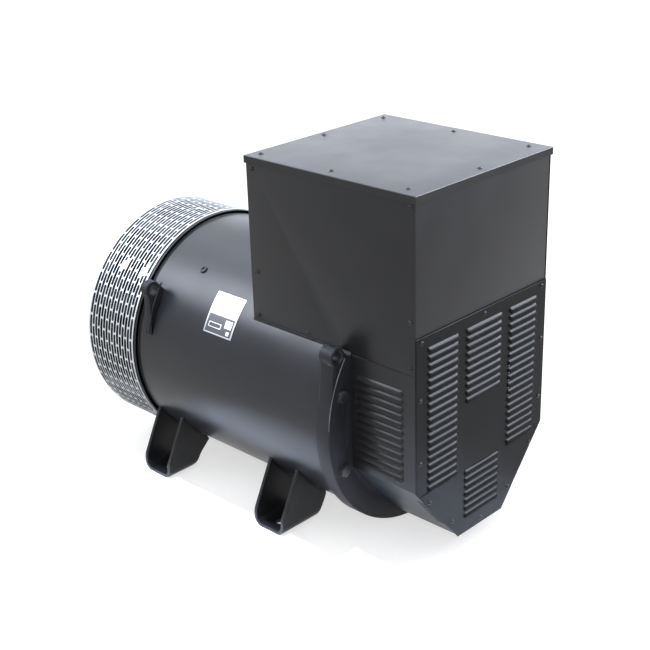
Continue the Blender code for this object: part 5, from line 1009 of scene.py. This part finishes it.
# Small fasteners on the sheets, each with a thin washer
screwSets = {
    "lidScrew": {"radius": 0.0054, "height": 0.0034,
                 "places": [(-0.549, -0.240), (-0.549, 0.240), (-0.050, -0.240), (-0.050, 0.240),
                            (-0.297, -0.240), (-0.297, 0.240), (-0.552, 0.0), (-0.025, 0.0)]},
    "sideScrew": {"radius": 0.0058, "height": 0.0038,
                  "places": [(-0.553, 0.640), (-0.553, 0.355), (-0.553, 0.231), (-0.366, 0.232),
                             (-0.017, 0.645), (-0.017, 0.355), (-0.017, 0.232)]},
    "coverScrew": {"radius": 0.0052, "height": 0.0034,
                   "places": [(-0.250, 0.298), (0.250, 0.298), (0.0, 0.298), (-0.255, 0.143),
                              (0.255, 0.143), (-0.255, -0.033), (0.255, -0.033), (-0.218, -0.162),
                              (0.218, -0.162), (-0.122, -0.263), (0.122, -0.263), (0.0, -0.305)]},
}


def lidHeight(x, y):
    # the cross-broken sheet's height at a point: it falls evenly from the middle to the nearest edge
    halves = ((lid["rear"] - lid["front"]) / 2, lid["half"])
    share = max(abs(x - (lid["rear"] + lid["front"]) / 2) / halves[0], abs(y) / halves[1])
    return lid["apex"] - (lid["apex"] - lid["rim"]) * share


def makeScrews():
    # one head on its washer, moved to each place and turned to look out of its own sheet
    for name, group in screwSets.items():
        washer = studded([group["radius"] * 1.35] * 2, [0.0, 0.0007], 24)
        head = screwHead(group["radius"], group["height"]) + washer
        left, right = [], []
        for a, b in group["places"]:
            if name == "lidScrew":
                left += moved(head, Matrix.Translation((a, b, lidHeight(a, b))))
            elif name == "coverScrew":
                left += moved(head, Matrix.Translation((0, a, b)) @ facing(1))
            else:
                for side, heads in ((1, left), (-1, right)):
                    outwards = Matrix.Rotation(side * math.pi / 2, 4, "X")
                    heads.extend(moved(head, Matrix.Translation((a, -side * box["half"], b)) @ outwards))
        piece(name + "s", left + right, finishes["blackOxide"], slot="black_bolts")


seal = {"front": -0.572, "rear": -0.2645, "half": 0.2715, "inside": 0.003, "outside": 0.004}


def makeSeal():
    # the neoprene strip between the barrel and the box's lower edges: one section swept along the box
    s = seal
    inner, outer = s["half"] - s["inside"], s["half"] + s["outside"]
    low = math.sqrt(barrelRadius ** 2 - inner ** 2)
    section = rounded([(inner, low - 0.001), (outer, low - 0.0062), (outer + 0.0002, low - 0.0014),
                       (inner, low + 0.003)], 0.0008)
    for name, side in (("boxSealLeft", -1), ("boxSealRight", 1)):
        piece(name, stacked(swept(np.array([s["front"], s["rear"]]), section * [side, 1])),
              finishes["rubber"])


# Rating plate: a brushed strip bent to the barrel, with a blank label above and blank dark print below
plate = {"front": -0.741, "rear": -0.629, "low": 25.2, "high": 45.0, "split": 34.6, "thickness": 0.0012,
         "print": 0.0002}


def makePlate():
    # each field is a patch of the barrel's round, a print's thickness over the one below it
    p = plate
    front, rear, ink = p["front"], p["rear"], p["print"]
    r = barrelRadius + 0.0003 + p["thickness"]
    piece("ratingPlate", [bent(front, rear, p["low"], p["high"], r)], finishes["plateMetal"],
          stands=["rating_plate"], wall=p["thickness"], slot="plate_aluminium")
    label = bent(front + 0.008, rear - 0.004, p["split"], p["high"] - 0.6, r + ink)
    piece("plateLabel", [label], finishes["label"], wall=ink)
    dark = bent(front + 0.004, rear - 0.004, p["low"] + 0.6, p["split"] - 0.3, r + ink)
    piece("platePrint", [dark], finishes["darkPrint"], wall=ink)
    # two blank squares, and an empty frame of four thin lines
    boxes = [(rear - 0.036, rear - 0.010, 29.6, 33.2), (rear - 0.024, rear - 0.013, 26.6, 28.3),
             (front + 0.014, front + 0.062, 30.3, 30.55), (front + 0.014, front + 0.062, 28.2, 28.45),
             (front + 0.0135, front + 0.015, 28.3, 30.45), (front + 0.061, front + 0.0625, 28.3, 30.45)]
    piece("plateBoxes", [bent(*edges, r + 2 * ink) for edges in boxes], finishes["label"], wall=ink)
    rivet = studded([0.0022, 0.0021, 0.0012], [0.0, 0.0005, 0.0009], 16)
    rivets = []
    for x in (front + 0.004, rear - 0.004):
        for angle in (p["low"] + 0.7, p["high"] - 0.7):
            rivets += moved(rivet, standOnBarrel(x, math.radians(angle), r))
    piece("plateRivets", rivets, finishes["turnedSteel"])


makeScrews()
makeSeal()
makePlate()
print("fasteners, seals and plate made")


# Drive end: hub, coupling discs, clamp ring with its bolts, and the fan
coupling = {"discFront": -1.2617, "discRear": -1.2569, "disc": 0.23335, "bore": 0.094, "discSheet": 0.0014,
            "discStep": 0.0017, "holes": 8, "holeCircle": 0.219075, "holeRadius": 0.0068,
            "hubFront": -1.2566, "hubRear": -1.0866, "hub": 0.105, "hubFlange": 0.176,
            "flangeThickness": 0.022, "shaft": 0.0703, "ringFront": -1.2700, "ringRear": -1.2620,
            "ring": 0.172, "bolts": 8, "boltCircle": 0.148, "boltFlats": 0.024, "boltHead": 0.010}


def makeCoupling():
    # hub, three thin discs and a clamp ring turned about the shaft line, with holes and bolts on circles
    c = coupling
    flangeRear = c["hubFront"] + c["flangeThickness"]
    hub = rounded([(c["hubFront"], c["shaft"]), (c["hubFront"], c["hubFlange"]), (flangeRear, c["hubFlange"]),
                   (flangeRear, c["hub"]), (c["hubRear"], c["hub"]), (c["hubRear"], c["shaft"])],
                  [0.001, 0.002, 0.002, 0.004, 0.002, 0.001])
    piece("couplingHub", [turned(hub, 128)], finishes["turnedSteel"], "rotor", ["coupling_hub"],
          slot="machined_steel")
    lows = c["discFront"] + c["discStep"] * np.arange(3)
    highs = np.append(lows[:2] + c["discSheet"], c["discRear"])
    surfaces = [turned([(low, c["bore"]), (low, c["disc"]), (high, c["disc"]), (high, c["bore"])], 144)
                for low, high in zip(lows, highs)]
    discs = piece("couplingDiscs", surfaces, finishes["zincDisc"], "rotor", ["coupling_discs"],
                  slot="bright_steel")
    places = [onFace(turn * (k + 0.5) / c["holes"] + turn / 4, c["discFront"], c["holeCircle"], 1)
              for k in range(c["holes"])]
    drilled(discs, places, c["holeRadius"], 0.03, 24)
    smoothed(discs, 35)
    ring = rounded([(c["ringFront"], c["bore"]), (c["ringFront"], c["ring"]), (c["ringRear"], c["ring"]),
                    (c["ringRear"], c["bore"])], [0.001, 0.002, 0.0005, 0.0005])
    surfaces = [turned(ring, 128)]
    head = hexBolt(c["boltFlats"], c["boltHead"], 0.0)
    for k in range(c["bolts"]):
        surfaces += moved(head, onFace(turn * k / c["bolts"], c["ringFront"], c["boltCircle"], -1))
    piece("discClampRing", surfaces, finishes["turnedSteel"], "rotor", ["disc_clamp_ring"],
          slot="machined_steel")


fan = {"front": -1.190, "disc": 0.005, "radius": 0.300, "eye": 0.190, "blade": 0.105, "thickness": 0.005,
       "sweep": 26.0, "blades": 11, "cone": 0.3212, "coneFront": -1.2105, "boss": 0.135, "bossLength": 0.040,
       "bore": 0.1053}


def makeFan():
    # a turned back plate with its boss, and blades as plates on a curved line, turned round the shaft line
    f = fan
    rear = f["front"] + f["disc"]
    flare = f["radius"] - 0.006
    bossRear = f["front"] + f["bossLength"]
    web = rounded([(rear, flare), (f["coneFront"], f["cone"]), (f["coneFront"] - 0.003, f["cone"] - 0.002),
                   (f["front"], flare - 0.002), (f["front"], f["bore"]), (bossRear, f["bore"]),
                   (bossRear, f["boss"]), (rear, f["boss"])],
                  [0.006, 0.0008, 0.0008, 0.006, 0.001, 0.001, 0.004, 0.010])
    surfaces = [turned(web, 128)]
    # a blade leans back as its radius grows: angle = -sweep * share squared, with a wall on both sides
    share = np.linspace(0, 1, 14)
    radius = f["eye"] + (f["radius"] - f["eye"]) * share
    angle = -math.radians(f["sweep"]) * share ** 2
    line = np.stack([radius * np.cos(angle), radius * np.sin(angle)], 1)
    along = np.gradient(line, axis=0)
    along /= np.linalg.norm(along, axis=1)[:, None]
    normal = np.stack([-along[:, 1], along[:, 0]], 1)
    thick = f["thickness"] / 2
    half = thick * np.where(np.abs(share - 0.5) > 0.47, 0.6, 1.0)[:, None]  # thinner at both ends
    outline = np.concatenate([line + normal * (thick - half), (line + normal * (thick + half))[::-1]])
    outline *= np.minimum(1, f["radius"] / np.linalg.norm(outline, axis=1))[:, None]
    blade = slab(outline[::-1], f["front"] + 0.002, f["front"] + 0.0025 + f["blade"], 0.0008, onRear)
    for k in range(f["blades"]):
        surfaces += moved(blade, Matrix.Rotation(turn * k / f["blades"], 4, "X"))
    # the fan's near-black coat is painted shade for the inside of the drum
    piece("fan", surfaces, finishes["fanPaintedShade"], "rotor", ["fan"], sharp=40, slot="cast_aluminium")


makeCoupling()
makeFan()
print("drive end made")


# Nodes that keep their own shape take a finish
carried = {
    "castEnamel": ["bearing_cap", "pilot_exciter_housing"],
    "sheetCoat": ["box_floor", "box_rail_left", "box_rail_right"],
    "turnedSteel": ["shaft", "pilot_exciter_rotor", "regulator_bracket", "bearing_outer_ring",
                    "bearing_inner_ring"],
    "laminated": ["stator_core", "rotor_core"],
    "winding": ["stator_winding", "rotor_coil_1", "rotor_coil_2", "rotor_coil_3", "rotor_coil_4",
                "exciter_armature", "exciter_stator", "pilot_exciter_stator"],
    "castAluminium": ["rectifier_wheel"],
    "brass": ["bearing_balls_and_cage", "busbar_link_1", "busbar_link_2", "busbar_link_3"],
    "board": ["terminal_board"],
    "regulator": ["voltage_regulator"],
}
for finish, names in carried.items():
    for name in names:
        nodes[name].data.materials.clear()
        nodes[name].data.materials.append(finishes[finish])


# Studio: a pale floor that runs out of sight, even soft light, and white cards that only the gloss shows.
# level is what a card or lamp gives off, against a background of about 1
studio = {"floor": "#C8C8C8", "glow": 0.58, "sky": "#FFFFFF", "skyLevel": 1.05,
          "cards": {"overhead": {"at": (0.2, 1.0, 3.3), "size": (3.2, 2.6), "level": 4.0},
                    "behind": {"at": (-2.5, 3.5, 2.5), "size": (5.5, 3.0), "level": 1.75},
                    "archTop": {"at": (-2.9, 0.2, 4.1), "size": (2.4, 2.4), "level": 4.2},
                    "plateSide": {"at": (-3.0, -2.2, 3.5), "size": (2.2, 2.0), "level": 18.0},
                    "keyHigh": {"at": (2.4, -2.2, 3.2), "size": (1.5, 1.2), "level": 36.0},
                    "rearHigh": {"at": (2.6, 2.5, 3.0), "size": (3.4, 2.6), "level": 34.0}},
          "lamp": {"at": (-0.5, -0.6, 4.2), "size": (3.0, 3.0), "level": 0.5, "tint": "#FFFFFF"},
          "pool": {"at": (0.28, -0.20, 3.2), "size": (1.40, 0.98), "level": 4.8, "spread": 5,
                   "tint": "#D3E2FF"},
          "lowFill": {"at": (0.9, -3.6, 0.7), "size": (3.0, 1.2), "level": 2.2, "tint": "#EEF3FF"},
          "lowRear": {"at": (3.7, -0.9, 0.6), "size": (2.6, 1.0), "level": 0.65, "tint": "#EEF3FF"},
          "aim": (0.0, 0.0, 0.45), "tint": "#E9F0FF"}


def makeStudio():
    # the floor is four rings round the origin and a round face inside the smallest
    t = np.arange(64) * turn / 64
    circle = np.stack([np.cos(t), np.sin(t), 0 * t], -1)
    rings = np.array([40.0, 8.0, 2.0, 0.4])[:, None, None] * circle - machineZero
    mesh = meshOf("floor", [gridSurface(rings, closeColumns=True), capSurface(rings[-1])])
    floor = bpy.data.objects.new("floor", mesh)
    bpy.context.scene.collection.objects.link(floor)
    # a pale acrylic floor lit from below, so that the shadows on it stay faint
    material, tree, shader = newMaterial("paleLitFloor", Roughness=0.85)
    shader.inputs["Base Color"].default_value = linear(studio["floor"])
    shader.inputs["Emission Color"].default_value = (1, 1, 1, 1)
    shader.inputs["Emission Strength"].default_value = studio["glow"]
    mesh.materials.append(material)
    world = bpy.data.worlds.new("studio")
    bpy.context.scene.world = world
    world.use_nodes = True
    background = world.node_tree.nodes["Background"]
    background.inputs["Color"].default_value = linear(studio["sky"])
    background.inputs["Strength"].default_value = studio["skyLevel"]
    for name, card in studio["cards"].items():
        addLamp(name, card).visible_diffuse = False
    for name in ("lamp", "lowFill", "lowRear", "pool"):
        addLamp(name, studio[name]).visible_glossy = False
    bpy.data.objects["pool"].rotation_euler = (0, 0, 0)
    bpy.context.scene.view_settings.view_transform = "Standard"


def addLamp(name, settings):
    # a rectangle facing the machine; its power follows from its area: level * pi * area
    light = bpy.data.lights.new(name, "AREA")
    light.shape, (light.size, light.size_y) = "RECTANGLE", settings["size"]
    light.energy = settings["level"] * math.pi * light.size * light.size_y
    light.color = linear(settings.get("tint", studio["tint"]))[:3]
    light.spread = math.radians(settings.get("spread", 180))
    item = bpy.data.objects.new(name, light)
    item.location = settings["at"]
    item.rotation_euler = (Vector(studio["aim"]) - item.location).to_track_quat("-Z", "Y").to_euler()
    bpy.context.scene.collection.objects.link(item)
    return item


view = {"azimuth": 44.4464, "elevation": 23.0378, "roll": -1.7549, "distance": 3.6476, "across": -0.10124,
        "up": 0.13377, "target": (0.2013, 0.0, 0.366), "lens": 70.684}


def makeCamera():
    # back from the target along the line of sight, then shifted across and up, and rolled about that line
    v = view
    a, e, roll = (math.radians(v[k]) for k in ("azimuth", "elevation", "roll"))
    back = Vector((math.sin(a) * math.cos(e), -math.cos(a) * math.cos(e), math.sin(e)))
    right = Vector((math.cos(a), math.sin(a), 0))
    up = back.cross(right)
    side = right * math.cos(roll) + up * math.sin(roll)
    top = -right * math.sin(roll) + up * math.cos(roll)
    place = Vector(v["target"]) + back * v["distance"] + side * v["across"] + top * v["up"]
    data = bpy.data.cameras.new("camera")
    data.lens, data.sensor_width, data.clip_end = v["lens"], 36.0, 200.0
    camera = bpy.data.objects.new("camera", data)
    camera.matrix_world = Matrix(((side[0], top[0], back[0], place[0]), (side[1], top[1], back[1], place[1]),
                                  (side[2], top[2], back[2], place[2]), (0, 0, 0, 1)))
    bpy.context.scene.collection.objects.link(camera)
    bpy.context.scene.camera = camera


makeStudio()
makeCamera()
print("studio and camera made")
